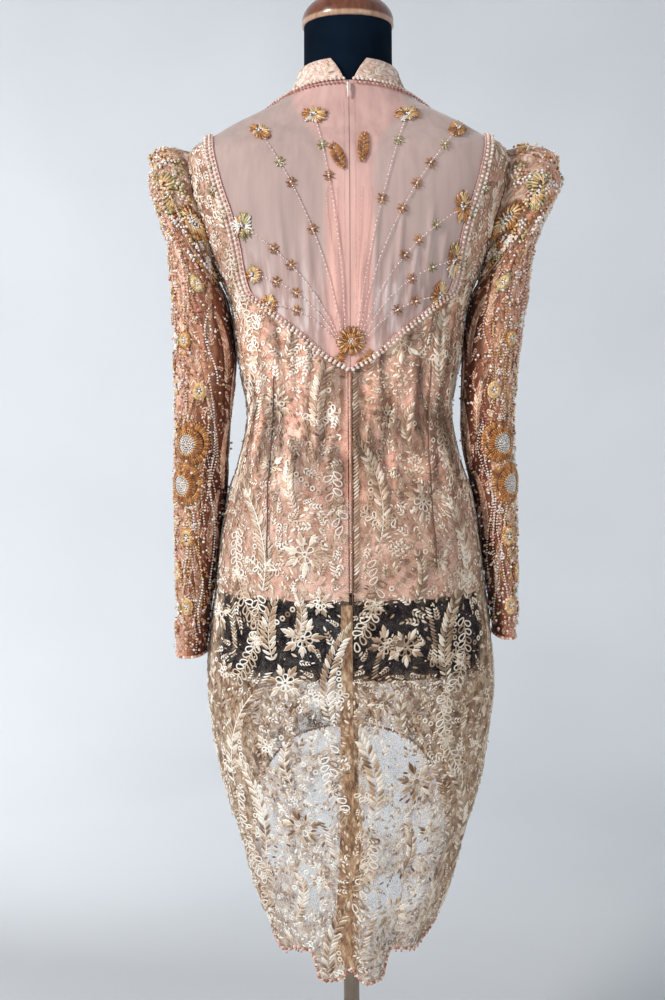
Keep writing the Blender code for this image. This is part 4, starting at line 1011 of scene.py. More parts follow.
def build_collar(looks):
    rise = np.linspace(0, 1, 14)[:, None]
    points = collar_points(np.linspace(0, 1, 160)[None, :], rise, 0.0003, 0.0030)
    made = thicken(sheet_mesh("lace_collar", points, looks["collar"]), 0.0008)
    on_form(made, "gold_lace", "collar")


# ---------------------------------------------------------------- sleeves
def sleeve_rows():
    return np.concatenate((np.linspace(0, 6, 56), np.linspace(6, SEAM_ROW, 76)[1:]))


def build_sleeves(looks):
    rows, columns = sleeve_rows(), 96
    row_grid = np.broadcast_to(rows[:, None], (len(rows), columns + 1))
    for word, side in SIDES.items():
        around = -side * np.linspace(0, FULL_TURN, columns + 1)[None, :]
        points = sleeve_points(side, row_grid, around, SLEEVE_LIFT)
        up = np.concatenate(([0.0], np.cumsum(np.linalg.norm(np.diff(points, axis=0), axis=-1).mean(axis=1))))
        share = np.linspace(0, 1, columns + 1)[None, ::-side]
        uvs = np.stack((np.broadcast_to(share * SLEEVE_UV_WIDTH, row_grid.shape),
                        np.broadcast_to(up[:, None], row_grid.shape)), axis=-1).reshape(-1, 2)
        made = sheet_mesh("sleeve_shell_%s" % word, points, looks["sleeve_%s" % word], uvs=uvs)
        on_form(made, "gold_lace", "sleeve_%s" % word)


def build_zip(looks):
    middle = figure_points(0.0, np.linspace(0.830, 1.408, 150), FACING_LIFT + SATIN_PROUD)
    points = np.stack([middle + (x, 0, 0) for x in (-0.0020, 0.0020)], axis=1)
    on_form(sheet_mesh("zip_tape", points, looks["satin"]), "peach_satin", "zip_chain")


def build_zip_teeth(looks):
    """The zip's teeth, turn about from both sides, and a row of stitches on each side of them."""
    teeth, stitches = Batch(), Batch()
    pitch = 0.0016
    places = evenly(figure_points(0.0, np.linspace(0.832, 1.400, 300), 0.0021), pitch)
    toward = np.where(np.arange(len(places)) % 2, 1, -1)[:, None]
    aside = np.array((1.0, 0.0, 0.0))
    teeth.bugles(places - aside * toward * 0.0003, places + aside * toward * 0.0012, 0.00045, BEHIND)
    on_form(teeth.made("zip_teeth", [looks["enamel"]]), "zip_metal")
    heights = np.linspace(1.100, 1.396, 200)
    for side in SIDES.values():
        dots = evenly(figure_points(side * angle_at(0.0062, heights), heights, YOKE_LIFT + 0.0006), pitch)
        paired = 2 * ((len(dots) - 1) // 2)
        stitches.bugles(dots[0:paired:2], dots[1:paired + 1:2], 0.00022, BEHIND)
    on_form(stitches.made("zip_stitches", [looks["edge_tape"]]), "pink_tulle")


# ================================================================ cloth seen flat
# In these classes x runs across a cut piece from its own centre line and y up it, in metres. raised() gives
# points on the worn cloth, and inside() says which places lie on the piece.
PANEL_BOTTOM, PANEL_TOP = 0.34, 1.3515


class FlatPanel:
    """A lace panel; x starts at the centre back or centre front, and y is the height."""

    def __init__(self, face, side):
        self.face, self.side = face, side
        self.heights = np.linspace(PANEL_BOTTOM, 1.41, 215)
        self.shares = np.linspace(0, 1, 41)
        angles = np.linspace(0, 1.04 * QUARTER_TURN, 81)
        grid = figure_surface(to_face(angles, face, side)[None, :], self.heights[:, None])
        steps = np.linalg.norm(np.diff(grid, axis=1), axis=-1)
        arcs = np.concatenate((np.zeros((len(grid), 1)), np.cumsum(steps, axis=1)), axis=1)
        self.widths = arcs[:, -1]
        self.angles = np.array([
            np.interp(self.shares * width, arc, angles) for width, arc in zip(self.widths, arcs)
        ])

    def angle(self, x, y):
        step = self.heights[1] - self.heights[0]
        row = np.clip((y - self.heights[0]) / step, 0, len(self.heights) - 1.001)
        share = np.clip(x / np.interp(y, self.heights, self.widths), 0, 0.9999)
        column = share * (len(self.shares) - 1)
        low_row, low_column = row.astype(int), column.astype(int)
        along, across = row - low_row, column - low_column
        low = blend(self.angles[low_row, low_column], self.angles[low_row, low_column + 1], across)
        high = blend(self.angles[low_row + 1, low_column], self.angles[low_row + 1, low_column + 1], across)
        return blend(low, high, along)

    def raised(self, x, y, lift):
        height = np.clip(y, PANEL_BOTTOM, PANEL_TOP)
        angle = self.angle(np.maximum(x, 0.0), height)
        for _ in range(2):
            span = panel_span(height, CENTRE_GAP)
            angle = np.clip(angle, span.inner, span.outer)
            height = np.maximum(height, hem_height(to_face(angle, self.face, self.side)) + 0.0004)
        return cloth_points(to_face(angle, self.face, self.side), height, lift)

    def inside(self, x, y):
        angle = self.angle(np.maximum(x, 0.0), y)
        span = panel_span(y, CENTRE_GAP)
        hem = hem_height(to_face(angle, self.face, self.side))
        return (x > 0.001) & (angle > span.inner) & (angle < span.outer) & (y > hem + 0.002) & (y < 1.351)


class FlatSleeve:
    """A sleeve; x runs from its outer line over the back of the arm, and y up from the cuff."""

    def __init__(self, side):
        self.side = side
        self.rows = np.linspace(0, HEAD_ROW + 0.9, 140)
        turns = np.linspace(0, FULL_TURN, 49)
        grid = sleeve_surface(side, self.rows[:, None], turns[None, :])
        self.girths = np.linalg.norm(np.diff(grid, axis=1), axis=-1).sum(axis=1)
        steps = np.linalg.norm(np.diff(grid, axis=0), axis=-1)[:, :24].mean(axis=1)
        self.lengths = np.concatenate(([0.0], np.cumsum(steps)))
        self.length = self.lengths[-1]

    def raised(self, x, y, lift):
        row = np.interp(y, self.lengths, self.rows)
        around = x / np.interp(row, self.rows, self.girths) * FULL_TURN
        return sleeve_points(self.side, row, around, lift)

    def share(self, x, y):
        """How far round the sleeve x is, from 0 at its outer line to 1 there again."""
        return x / np.interp(np.interp(y, self.lengths, self.rows), self.rows, self.girths)

    def inside(self, x, y):
        return (x > 0.0) & (self.share(x, y) < 1) & (y > 0.003) & (y < self.length - 0.004)


class FlatYoke:
    """The yoke's back, both halves: x runs to the wearer's right and y is the height."""

    def __init__(self):
        self.halves = {side: FlatPanel("back", side) for side in (-1, 1)}

    def raised(self, x, y, lift):
        angle = np.where(x > 0, self.halves[1].angle(np.abs(x), y), -self.halves[-1].angle(np.abs(x), y))
        across = figure_surface(angle, y)[..., 0]
        return figure_points(angle, y, lift + crease_lift(YOKE_CREASES["back"], across, y))


# ================================================================ stamps: small raised shapes laid on cloth
# A shape's vertices are along, aside and rise; each face has three corners and a material index.
Shape = namedtuple("Shape", "vertices faces tones")
Marks = namedtuple("Marks", "x y turn length width bend rise")


def ring_bands(rings, sides, tones, closing=None):
    """Triangles between closed rings of vertices, and to one last vertex in the middle."""
    faces, colours = [], []
    for band in range(rings - 1):
        for k in range(sides):
            a, b = band * sides + k, band * sides + (k + 1) % sides
            faces += [(a, b, b + sides), (a, b + sides, a + sides)]
            colours += [tones[band]] * 2
    if closing is not None:
        last = (rings - 1) * sides
        for k in range(sides):
            faces.append((last + k, last + (k + 1) % sides, rings * sides))
            colours.append(closing)
    return np.array(faces), np.array(colours)


def leaf_shape():
    outline = np.array([(0.00, 0.00), (0.28, -0.44), (0.70, -0.42), (1.00, 0.00), (0.70, 0.42), (0.28, 0.44)])
    ridge = (outline - (0.5, 0.0)) * (0.80, 0.62) + (0.5, 0.0)
    outer = np.column_stack((outline, np.zeros(6)))
    top = np.column_stack((ridge, np.ones(6)))
    vertices = np.concatenate((outer, top, [(0.5, 0.0, 0.35)]))
    return Shape(vertices, *ring_bands(2, 6, (0,), closing=1))


def small_leaf_shape(tone):
    outline = np.array([(0.0, 0.0), (0.3, -0.46), (0.7, -0.42), (1.0, 0.0), (0.7, 0.42), (0.3, 0.46)])
    vertices = np.concatenate((np.column_stack((outline, np.zeros(6))), [(0.5, 0.0, 1.0)]))
    return Shape(vertices, *ring_bands(1, 6, (), closing=tone))


def ring_shape(sides=8, hole=0.46):
    turns = np.arange(sides) * FULL_TURN / sides
    circle = np.column_stack((np.cos(turns), np.sin(turns))) / 2
    rings = [
        np.column_stack((circle * size, np.full(sides, rise)))
        for size, rise in ((1.0, 0.0), ((1 + hole) / 2, 1.0), (hole, 0.0))
    ]
    return Shape(np.concatenate(rings), *ring_bands(3, sides, (0, 0)))


LEAF, RING = leaf_shape(), ring_shape()
SMALL_LEAF, QUIET_LEAF = small_leaf_shape(0), small_leaf_shape(1)


class Batch:
    """Triangles gathered from many small shapes, made into one object at the end."""

    def __init__(self):
        self.vertices, self.faces, self.tones = [], [], []
        self.count = 0

    def add(self, vertices, faces, tones):
        """vertices (n, v, 3) for n copies; faces (f, 3) and tones (f,) of one copy."""
        copies, each = vertices.shape[:2]
        starts = self.count + np.arange(copies)[:, None, None] * each
        self.vertices.append(vertices.reshape(-1, 3))
        self.faces.append((faces[None] + starts).reshape(-1, 3))
        self.tones.append(np.tile(tones, copies))
        self.count += copies * each

    def stamp(self, flat, shape, marks, lift):
        """Lay copies of a shape on the cloth; marks are rows of Marks."""
        if not len(marks):
            return
        x, y, turn, length, width, bend, rise = (column[:, None] for column in np.array(marks, float).T)
        along, aside, up = shape.vertices.T
        forward = length * along
        sideways = width * aside + bend * length * along ** 2
        cosine, sine = np.cos(turn), np.sin(turn)
        points = flat.raised(
            x + forward * cosine - sideways * sine, y + forward * sine + sideways * cosine, lift + rise * up
        )
        self.add(points, shape.faces, shape.tones)

    def cords(self, flat, lines, width, rise, lift, tone=0):
        """Raised cords: lines is (n, k, 2) of places on the cloth."""
        lines = np.array(lines, float)
        if not len(lines):
            return
        along = unit(np.gradient(lines, axis=1))
        aside = np.stack((-along[..., 1], along[..., 0]), axis=-1) * width / 2
        rows = [(lines - aside, 0.0), (lines, rise), (lines + aside, 0.0)]
        points = np.stack([flat.raised(at[..., 0], at[..., 1], lift + up) for at, up in rows], axis=2)
        copies, steps = lines.shape[:2]
        quads = grid_faces(steps, 3)
        faces = np.concatenate((quads[:, :3], quads[:, [0, 2, 3]]))
        self.add(points.reshape(copies, steps * 3, 3), faces, np.full(len(faces), tone))

    def beads(self, centres, radius):
        centres = np.array(centres, float).reshape(-1, 3)
        radius = np.broadcast_to(np.asarray(radius, float), (len(centres),))[:, None, None]
        vertices = centres[:, None, :] + BEAD.vertices[None] * radius
        self.add(vertices, BEAD.faces, BEAD.tones)

    def bugles(self, starts, ends, radius, outward):
        """Short glass tubes from start to end; outward is the cloth's normal there."""
        starts, ends = np.array(starts, float).reshape(-1, 3), np.array(ends, float).reshape(-1, 3)
        along = unit(ends - starts)
        aside = unit(np.cross(along, outward))
        above = np.cross(aside, along)
        sides = 5
        turns = np.arange(sides) * FULL_TURN / sides
        around = aside[:, None] * np.cos(turns)[:, None] + above[:, None] * np.sin(turns)[:, None]
        rings = [starts[:, None] + around * radius, ends[:, None] + around * radius]
        bulge = along[:, None] * radius * 0.4
        caps = [starts[:, None] - bulge, ends[:, None] + bulge]
        vertices = np.concatenate(rings + caps, axis=1)
        faces = []
        for k in range(sides):
            m = (k + 1) % sides
            faces += [
                (k, m, m + sides), (k, m + sides, k + sides),
                (m, k, 2 * sides), (k + sides, m + sides, 2 * sides + 1),
            ]
        self.add(vertices, np.array(faces), np.zeros(len(faces)))

    def made(self, name, materials):
        vertices, faces = np.concatenate(self.vertices), np.concatenate(self.faces)
        tones = np.concatenate(self.tones)
        return add_mesh(name, vertices, faces, materials, material_index=tones)


def icosahedron():
    golden = (1 + math.sqrt(5)) / 2
    corners = []
    for a in (-1, 1):
        for b in (-golden, golden):
            corners += [(0, a, b), (a, b, 0), (b, 0, a)]
    vertices = unit(np.array(corners, float))
    near = np.linalg.norm(vertices[:, None] - vertices[None], axis=-1)
    edge = near[near > 0.1].min() * 1.01
    faces = []
    for a in range(12):
        for b in range(a + 1, 12):
            for c in range(b + 1, 12):
                if max(near[a, b], near[b, c], near[a, c]) < edge:
                    normal = np.cross(vertices[b] - vertices[a], vertices[c] - vertices[a])
                    outward = np.dot(normal, vertices[a])
                    faces.append((a, b, c) if outward > 0 else (a, c, b))
    return Shape(vertices, np.array(faces), np.zeros(20))


BEAD = icosahedron()


# ---------------------------------------------------------------- lace motifs
def curve_line(x, y, turn, length, curl, steps):
    """Places and headings along an arc that starts at (x, y), heading turn, and bends by curl in all."""
    headings = turn + curl * np.linspace(0, 1, steps)
    stride = length / (steps - 1)
    forward = np.stack((np.cos(headings), np.sin(headings)), axis=-1) * stride
    places = np.array((x, y)) + np.concatenate((np.zeros((1, 2)), np.cumsum(forward[:-1], axis=0)))
    return places, headings


class Lace:
    """Motifs of one panel of lace: leaf and ring marks, and the lines of its cords."""

    CELL = 0.0015
    STEM_WIDTH, STEM_RISE, LOOP_WIDTH, LOOP_RISE = 0.0016, 0.0007, 0.0017, 0.0010

    def __init__(self, flat, height, width, rng):
        self.flat, self.rng = flat, rng
        self.leaves, self.small_leaves, self.quiet_leaves = [], [], []
        self.rings, self.stems, self.loops = [], [], []
        self.taken = np.zeros((int(width / self.CELL), int(height / self.CELL)), bool)

    def cell(self, x, y):
        column = np.clip((np.asarray(x) / self.CELL).astype(int), 0, self.taken.shape[0] - 1)
        row = np.clip((np.asarray(y) / self.CELL).astype(int), 0, self.taken.shape[1] - 1)
        return column, row

    def reserve(self, x, y, radius):
        """Keep open net round a place, as lace does round its ring chains."""
        reach = np.arange(-radius, radius + self.CELL, self.CELL)
        across, up = np.meshgrid(reach, reach)
        disc = across ** 2 + up ** 2 <= radius ** 2
        self.taken[self.cell(x + across[disc], y + up[disc])] = True

    def spine(self, x, y, turn, length, bend):
        share = np.linspace(0.05, 0.95, 7)
        forward, sideways = length * share, bend * length * share ** 2
        return (
            x + forward * math.cos(turn) - sideways * math.sin(turn),
            y + forward * math.sin(turn) + sideways * math.cos(turn),
        )

    def leaf(self, x, y, turn, length, width, bend=0.0, rise=0.0011, marks=None, check=False):
        along = self.spine(x, y, turn, length, bend)
        if not np.all(self.flat.inside(*along)):
            return False
        if check and np.any(self.taken[self.cell(*along)]):
            return False
        marks = self.leaves if marks is None else marks
        marks.append(Marks(x, y, turn, length, width, bend, rise))
        for offset in np.arange(-width * 0.45, width * 0.46, self.CELL):
            beside = self.cell(along[0] - offset * math.sin(turn), along[1] + offset * math.cos(turn))
            self.taken[beside] = True
        return True

    def fern(self, x, y, turn, length, curl, leaf_length):
        pairs = max(4, int(length / (leaf_length * 0.46)))
        places, headings = curve_line(x, y, turn, length, curl, pairs + 1)
        self.stem(x, y, turn, length, curl)
        for k, (place, heading) in enumerate(zip(places, headings)):
            size = leaf_length * (0.55 + 0.6 * math.sin(math.pi * (0.12 + 0.80 * k / pairs)))
            for hand in (-1, 1):
                spread = hand * (1.02 - 0.35 * k / pairs + self.rng.uniform(-0.06, 0.06))
                self.leaf(place[0], place[1], heading + spread, size, size * 0.34, -hand * 0.16)
        self.leaf(places[-1][0], places[-1][1], headings[-1], leaf_length * 0.8, leaf_length * 0.34)

    def stem(self, x, y, turn, length, curl):
        places, _ = curve_line(x, y, turn, length, curl, 24)
        if np.all(self.flat.inside(places[:, 0], places[:, 1])):
            self.stems.append(places)

    def loop(self, x, y, turn, length, width):
        """A petal drawn with one cord: out from its foot, round, and back."""
        around = np.linspace(0, FULL_TURN, 13)
        along = length * (0.5 - 0.5 * np.cos(around))
        aside = 0.5 * width * np.sin(around) * (0.55 + 0.75 * along / length)
        places = np.stack((
            x + along * math.cos(turn) - aside * math.sin(turn),
            y + along * math.sin(turn) + aside * math.cos(turn),
        ), axis=-1)
        if not np.all(self.flat.inside(places[:, 0], places[:, 1])):
            return
        self.loops.append(places)
        self.reserve(x + 0.55 * length * math.cos(turn), y + 0.55 * length * math.sin(turn), 0.5 * width)

    def curls(self, x, y, turn, length, curl, size):
        """A stem with an open loop on one side and then the other."""
        self.stem(x, y, turn, length, curl)
        places, headings = curve_line(x, y, turn, length, curl, int(length / (0.42 * size)) + 2)
        for k, (place, heading) in enumerate(zip(places, headings)):
            hand = 1 if k % 2 else -1
            self.loop(place[0], place[1], heading + hand * self.rng.uniform(0.8, 1.1), size, 0.55 * size)

    def flower(self, x, y, size, petals=7, turn=0.0):
        """A ragged rose: fans of three leaves for petals, looped cords inside, and a ring at its heart."""
        for k in range(petals):
            heading = turn + FULL_TURN * k / petals + self.rng.uniform(-0.15, 0.15)
            scale = size * self.rng.uniform(0.80, 1.18)
            foot = (x + 0.20 * size * math.cos(heading), y + 0.20 * size * math.sin(heading))
            for fan, share in ((-0.62, 0.66), (0.62, 0.66), (0.0, 1.0)):
                length = 0.34 * share * scale
                self.leaf(*foot, heading + fan, length, 0.36 * length, -0.25 * fan, rise=0.0010)
            self.loop(
                x + 0.07 * size * math.cos(heading + 0.4), y + 0.07 * size * math.sin(heading + 0.4),
                heading + 0.4, 0.17 * scale, 0.12 * scale,
            )
        if self.flat.inside(np.array(x), np.array(y)):
            self.rings.append(Marks(x, y, 0.0, 0.15 * size, 0.15 * size, 0.0, 0.0014))

    def chain(self, x, y, turn, length, curl, ring=0.0068):
        count = int(length / (ring * 1.12))
        places, _ = curve_line(x, y, turn, length, curl, count + 1)
        for place in places:
            if np.all(self.flat.inside(place[0], place[1])):
                self.rings.append(Marks(place[0], place[1], 0.0, ring, ring, 0.0, 0.0009))
            self.reserve(place[0], place[1], ring * 1.5)

    def comb(self, x, y, turn, length, curl, leaf_length, hand):
        count = int(length / 0.0040)
        places, headings = curve_line(x, y, turn, length, curl, count)
        for place, heading in zip(places, headings):
            self.leaf(
                place[0], place[1], heading + hand * 1.15, leaf_length * self.rng.uniform(0.85, 1.1),
                0.0026, -hand * 0.35, rise=0.0008,
            )

    def free_places(self, attempts, keep):
        wide, tall = np.array(self.taken.shape) * self.CELL
        places = self.rng.uniform((0, 0), (wide, tall), (attempts, 2))
        chance = self.rng.uniform(0, 1, attempts)
        wanted = self.flat.inside(places[:, 0], places[:, 1]) & (chance < keep(places[:, 0], places[:, 1]))
        for x, y in places[wanted]:
            if not self.taken[int(x / self.CELL), int(y / self.CELL)]:
                swirl = 1.5 + 1.6 * math.sin(31 * x + 9 * y) + 1.3 * math.sin(27 * y - 12 * x)
                yield x, y, swirl + (math.pi if self.rng.random() < 0.5 else 0.0)

    def sprigs(self, attempts, lengths, keep):
        """Short curved sprigs of paired leaves, where there is room for their stems."""
        for x, y, turn in self.free_places(attempts, keep):
            length = self.rng.uniform(*lengths)
            places, headings = curve_line(x, y, turn, length, self.rng.uniform(-0.9, 0.9), 5)
            if np.any(self.taken[self.cell(places[:, 0], places[:, 1])]):
                continue
            size = 0.42 * length
            for k, (place, heading) in enumerate(zip(places[:-1], headings)):
                for hand in (-1, 1):
                    self.leaf(*place, heading + 0.85 * hand, size * (1 - 0.12 * k), 0.36 * size, -0.15 * hand,
                              marks=self.small_leaves)
            self.leaf(*places[-1], headings[-1], size, 0.38 * size, marks=self.small_leaves)

    def fill(self, attempts, lengths, keep):
        """Small quiet leaves in what room is left, turned along a slow swirl."""
        for x, y, turn in self.free_places(attempts, keep):
            size = self.rng.uniform(*lengths)
            self.leaf(x, y, turn, size, size * 0.38, 0.16, rise=0.0007, marks=self.quiet_leaves, check=True)

    def shown(self, name, lift, materials):
        batch = Batch()
        for shape, marks in ((LEAF, self.leaves), (SMALL_LEAF, self.small_leaves),
                             (QUIET_LEAF, self.quiet_leaves), (RING, self.rings)):
            batch.stamp(self.flat, shape, marks, lift)
        batch.cords(self.flat, self.stems, self.STEM_WIDTH, self.STEM_RISE, lift)
        batch.cords(self.flat, self.loops, self.LOOP_WIDTH, self.LOOP_RISE, lift)
        return batch.made(name, materials)


# One repeat of the lace, 0.118 m wide and 0.166 m tall. Turns are in degrees from across the cloth.
REPEAT_WIDTH, REPEAT_HEIGHT = 0.118, 0.166
Motif = namedtuple("Motif", "kind x y turn length curl leaf")
REPEAT = [Motif(*row) for row in (
    ("fern", 0.020, 0.004, 78, 0.128, 55, 0.0125), ("curls", 0.106, 0.150, 262, 0.110, 50, 0.0115),
    ("fern", 0.060, 0.100, 120, 0.060, -60, 0.0090), ("curls", 0.040, 0.030, 200, 0.040, -70, 0.0080),
    ("flower", 0.072, 0.048, 10, 0.046, 0, 0.0), ("flower", 0.030, 0.146, 35, 0.032, 0, 0.0),
    ("flower", 0.108, 0.098, 0, 0.024, 0, 0.0), ("chain", 0.048, 0.158, 300, 0.058, 35, 0.0),
    ("chain", 0.006, 0.086, 285, 0.040, -30, 0.0), ("comb", 0.112, 0.010, 95, 0.050, 25, 0.0100),
)]


# More motifs on the back over the form's bare hip; x is from the centre line and y the height.
HIP_MOTIFS = {
    -1: [Motif(*row) for row in (
        ("flower", 0.056, 0.776, 15, 0.048, 0, 0.0), ("fern", 0.092, 0.748, 72, 0.066, 40, 0.0135),
        ("comb", 0.150, 0.745, 95, 0.070, -20, 0.0110),
    )],
    1: [Motif(*row) for row in (
        ("flower", 0.040, 0.768, 40, 0.044, 0, 0.0), ("comb", 0.102, 0.742, 88, 0.066, 20, 0.0100),
    )],
}


def lay_motif(lace, motif, left, low, flipped):
    x, y = left + (REPEAT_WIDTH - motif.x if flipped else motif.x), low + motif.y
    turn = math.radians(180 - motif.turn if flipped else motif.turn)
    curl = math.radians(-motif.curl if flipped else motif.curl)
    if motif.kind == "fern":
        lace.fern(x, y, turn, motif.length, curl, motif.leaf)
    elif motif.kind == "curls":
        lace.curls(x, y, turn, motif.length, curl, motif.leaf)
    elif motif.kind == "flower":
        lace.flower(x, y, motif.length, turn=turn)
    elif motif.kind == "chain":
        lace.chain(x, y, turn, motif.length, curl)
    else:
        lace.comb(x, y, turn, motif.length, curl, motif.leaf, -1 if flipped else 1)


REPEAT_MARGIN, REPEAT_STRAY_ACROSS, REPEAT_STRAY_UP, RIGHT_SIDE_RAISE = 0.010, 0.006, 0.01, 0.061


def lay_repeat(lace, tall, wide, side):
    """Cover the panel with repeats; every other one is turned over, and all sit a little off."""
    for row in range(-1, int(tall / REPEAT_HEIGHT) + 1):
        for column in range(int(wide / REPEAT_WIDTH) + 1):
            flipped = (row + column + (side > 0)) % 2 == 1
            stray_across = lace.rng.uniform(-REPEAT_STRAY_ACROSS, REPEAT_STRAY_ACROSS)
            stray_up = lace.rng.uniform(-REPEAT_STRAY_UP, REPEAT_STRAY_UP)
            left = REPEAT_MARGIN + column * REPEAT_WIDTH + stray_across
            low = row * REPEAT_HEIGHT + 0.5 * REPEAT_HEIGHT * (column % 2) + stray_up
            low += RIGHT_SIDE_RAISE * (side > 0)
            for motif in REPEAT:
                lay_motif(lace, motif, left, low, flipped)


class FlatCollar:
    """The collar: x runs round it from one end and y up it."""

    GIRTH, RISE, MARGIN = 0.355, 0.036, 0.001

    def raised(self, x, y, lift):
        share, rise = np.clip(x / self.GIRTH, 0.004, 0.996), np.clip(y / self.RISE, 0.02, 0.98)
        return collar_points(share, rise, 0.0, lift + 0.0034)

    def inside(self, x, y):
        along = (x > self.MARGIN) & (x < self.GIRTH - self.MARGIN)
        return along & (y > self.MARGIN) & (y < self.RISE - self.MARGIN)


BODY_SIDE_SHARE, BODY_SIDE_REACH = 0.46, 0.16  # of the way round a sleeve
BODY_SIDE_FULLNESS, OUTER_FULLNESS = 0.30, 0.85


def sleeve_fullness(flat, x, y):
    """How likely a small leaf is: seldom on the side toward the body."""
    toward_body = np.abs(flat.share(x, y) - BODY_SIDE_SHARE) < BODY_SIDE_REACH
    return np.where(toward_body, BODY_SIDE_FULLNESS, OUTER_FULLNESS)


def build_small_lace(looks):
    """The lace over the sleeves and the collar."""
    columns, repeats, repeat_height = 13, 5, 0.128
    for word, side in SIDES.items():
        flat = FlatSleeve(side)
        lace = Lace(flat, flat.length, 0.30, np.random.default_rng(SLEEVE_LACE_SEED + side))
        for k in range(columns):
            x = (0.018 + 0.022 * k) % flat.girths.max()
            y = 0.02 + 0.115 * ((k * 0.618) % 1.0)
            for repeat in range(repeats):
                hand = 1 if (k + repeat) % 2 else -1
                low, turn = y + repeat_height * repeat, QUARTER_TURN + 0.2 * hand
                lace.fern(x, low, turn, 0.080, -0.7 * hand, 0.0085)
        lace.sprigs(1500, (0.010, 0.015), lambda x, y: sleeve_fullness(flat, x, y))
        lace.fill(7000, (0.0045, 0.0080), lambda x, y: sleeve_fullness(flat, x, y))
        made = lace.shown("sleeve_lace_%s" % word, 0.0, [looks["sleeve_cord"], looks["sleeve_fill"]])
        on_form(made, "gold_lace")
    flat = FlatCollar()
    lace = Lace(flat, flat.RISE, flat.GIRTH, np.random.default_rng(COLLAR_SEED))
    for k in range(9):
        lace.fern(0.012 + 0.040 * k, 0.006, 0.55, 0.034, 0.9, 0.0075)
    lace.sprigs(300, (0.009, 0.013), lambda x, y: 0.9)
    lace.fill(1400, (0.0040, 0.0070), lambda x, y: 0.9)
    on_form(lace.shown("collar_lace", 0.0, [looks["cord"], looks["fill"]]), "gold_lace")


Dart = namedtuple("Dart", "side top_x top_y bottom_x bottom_y sway")
DARTS = [Dart(-1, 0.088, 1.078, 0.098, 0.868, 0.003), Dart(1, 0.095, 1.088, 0.100, 0.855, -0.004)]


def build_seams(looks):
    """The closed zip's edge and the darts, as thin dark lines of painted shadow in their grooves, and the
    tape below the zip.
    """
    batch = Batch()
    rise = np.linspace(0, 1, 120)
    zip_line = np.stack((np.full(120, 0.0009), blend(0.820, 1.080, rise)), axis=-1)
    batch.cords(FlatPanel("back", 1), [zip_line], 0.0015, 0.0006, MOTIF_LIFT + 0.0009)
    for dart in DARTS:
        flat = FlatPanel("back", dart.side)
        x = blend(dart.bottom_x, dart.top_x, rise) + dart.sway * np.sin(math.pi * rise)
        line = np.stack((x, blend(dart.bottom_y, dart.top_y, rise)), axis=-1)
        batch.cords(flat, [line], 0.0017, 0.0005, MOTIF_LIFT + 0.0010)
    on_form(batch.made("seam_shadow_lines", [looks["seam"]]), "gold_lace")
    top, columns = SEAM_TAPE[-1, 0], 15
    hem = float(hem_height(np.zeros(1))[0])
    height = np.broadcast_to(np.linspace(hem + 0.0010, top, 130)[:, None], (130, columns))
    left, right = (np.interp(height, SEAM_TAPE[:, 0], SEAM_TAPE[:, k]) for k in (1, 2))
    across = blend(left, right, np.linspace(0, 1, columns))
    angle = np.sign(across) * angle_at(np.abs(across), height)
    height = np.maximum(height, hem_height(angle) + 0.0010)
    made = sheet_mesh("seam_tape", cloth_points(angle, height, NET_LIFT + 0.00015), looks["tape"])
    on_form(made, "gold_lace")


HIP_BAND_BOTTOM, HIP_BAND_TOP, HIP_BAND_FADE = 0.722, 0.826, 0.012
LACE_HEIGHT, LACE_WIDTH = 1.36, 0.27
SPRIG_ATTEMPTS, LEAF_ATTEMPTS = 5200, 30000


def lace_fullness(side, x, y, bare):
    """How likely a small leaf is: seldom in the open places, and missing by the share bare over the hip."""
    hip = smooth_step((y - HIP_BAND_BOTTOM) / HIP_BAND_FADE) * smooth_step((HIP_BAND_TOP - y) / HIP_BAND_FADE)
    return (1 - bare * hip) * (1 - 0.85 * how_open(side, x, y)) * (1 - 0.5 * on_tape(side, x, y))


def build_lace_motifs(looks):
    for face in ("back", "front"):
        for word, side in SIDES.items():
            seed = PANEL_SEED + 3 * side + (FRONT_SEED_STEP if face == "front" else 0)
            lace = Lace(FlatPanel(face, side), LACE_HEIGHT, LACE_WIDTH, np.random.default_rng(seed))
            lay_repeat(lace, LACE_HEIGHT, LACE_WIDTH, side)
            if face == "back":
                for motif in HIP_MOTIFS[side]:
                    lay_motif(lace, motif, 0.0, 0.0, False)
            if face == "front" or side > 0:
                lace.comb(0.0022, 0.83, QUARTER_TURN, 0.24, 0.0, 0.0095, -1)
            else:
                for height in np.arange(0.836, 1.070, 0.008):
                    lace.reserve(0.5 * ZIP_LAP[side], height, 0.5 * ZIP_LAP[side])
            thinner = 1 if face == "back" else 2
            lace.sprigs(SPRIG_ATTEMPTS // thinner, (0.011, 0.018),
                        lambda x, y: lace_fullness(side, x, y, 0.72))
            lace.fill(LEAF_ATTEMPTS // thinner, (0.0045, 0.0085),
                      lambda x, y: 0.9 * lace_fullness(side, x, y, 0.93))
            # The right half's cords take the copy painted darker and warmer as shade.
            cord = looks["cord_right" if side > 0 else "cord"]
            made = lace.shown("lace_motifs_%s_%s" % (face, word), MOTIF_LIFT, [cord, looks["fill"]])
            on_form(made, "gold_lace")


# ================================================================ beadwork
def evenly(points, spacing):
    """Places at even distances along a line of points."""
    points = np.array(points, float)
    run = np.concatenate(([0.0], np.cumsum(np.linalg.norm(np.diff(points, axis=0), axis=-1))))
    count = max(2, int(round(run[-1] / spacing)))
    at = np.linspace(0, run[-1], count + 1)
    return np.stack([np.interp(at, run, points[:, k]) for k in range(points.shape[1])], axis=-1)


def halfway(places):
    return (places[1:] + places[:-1]) / 2


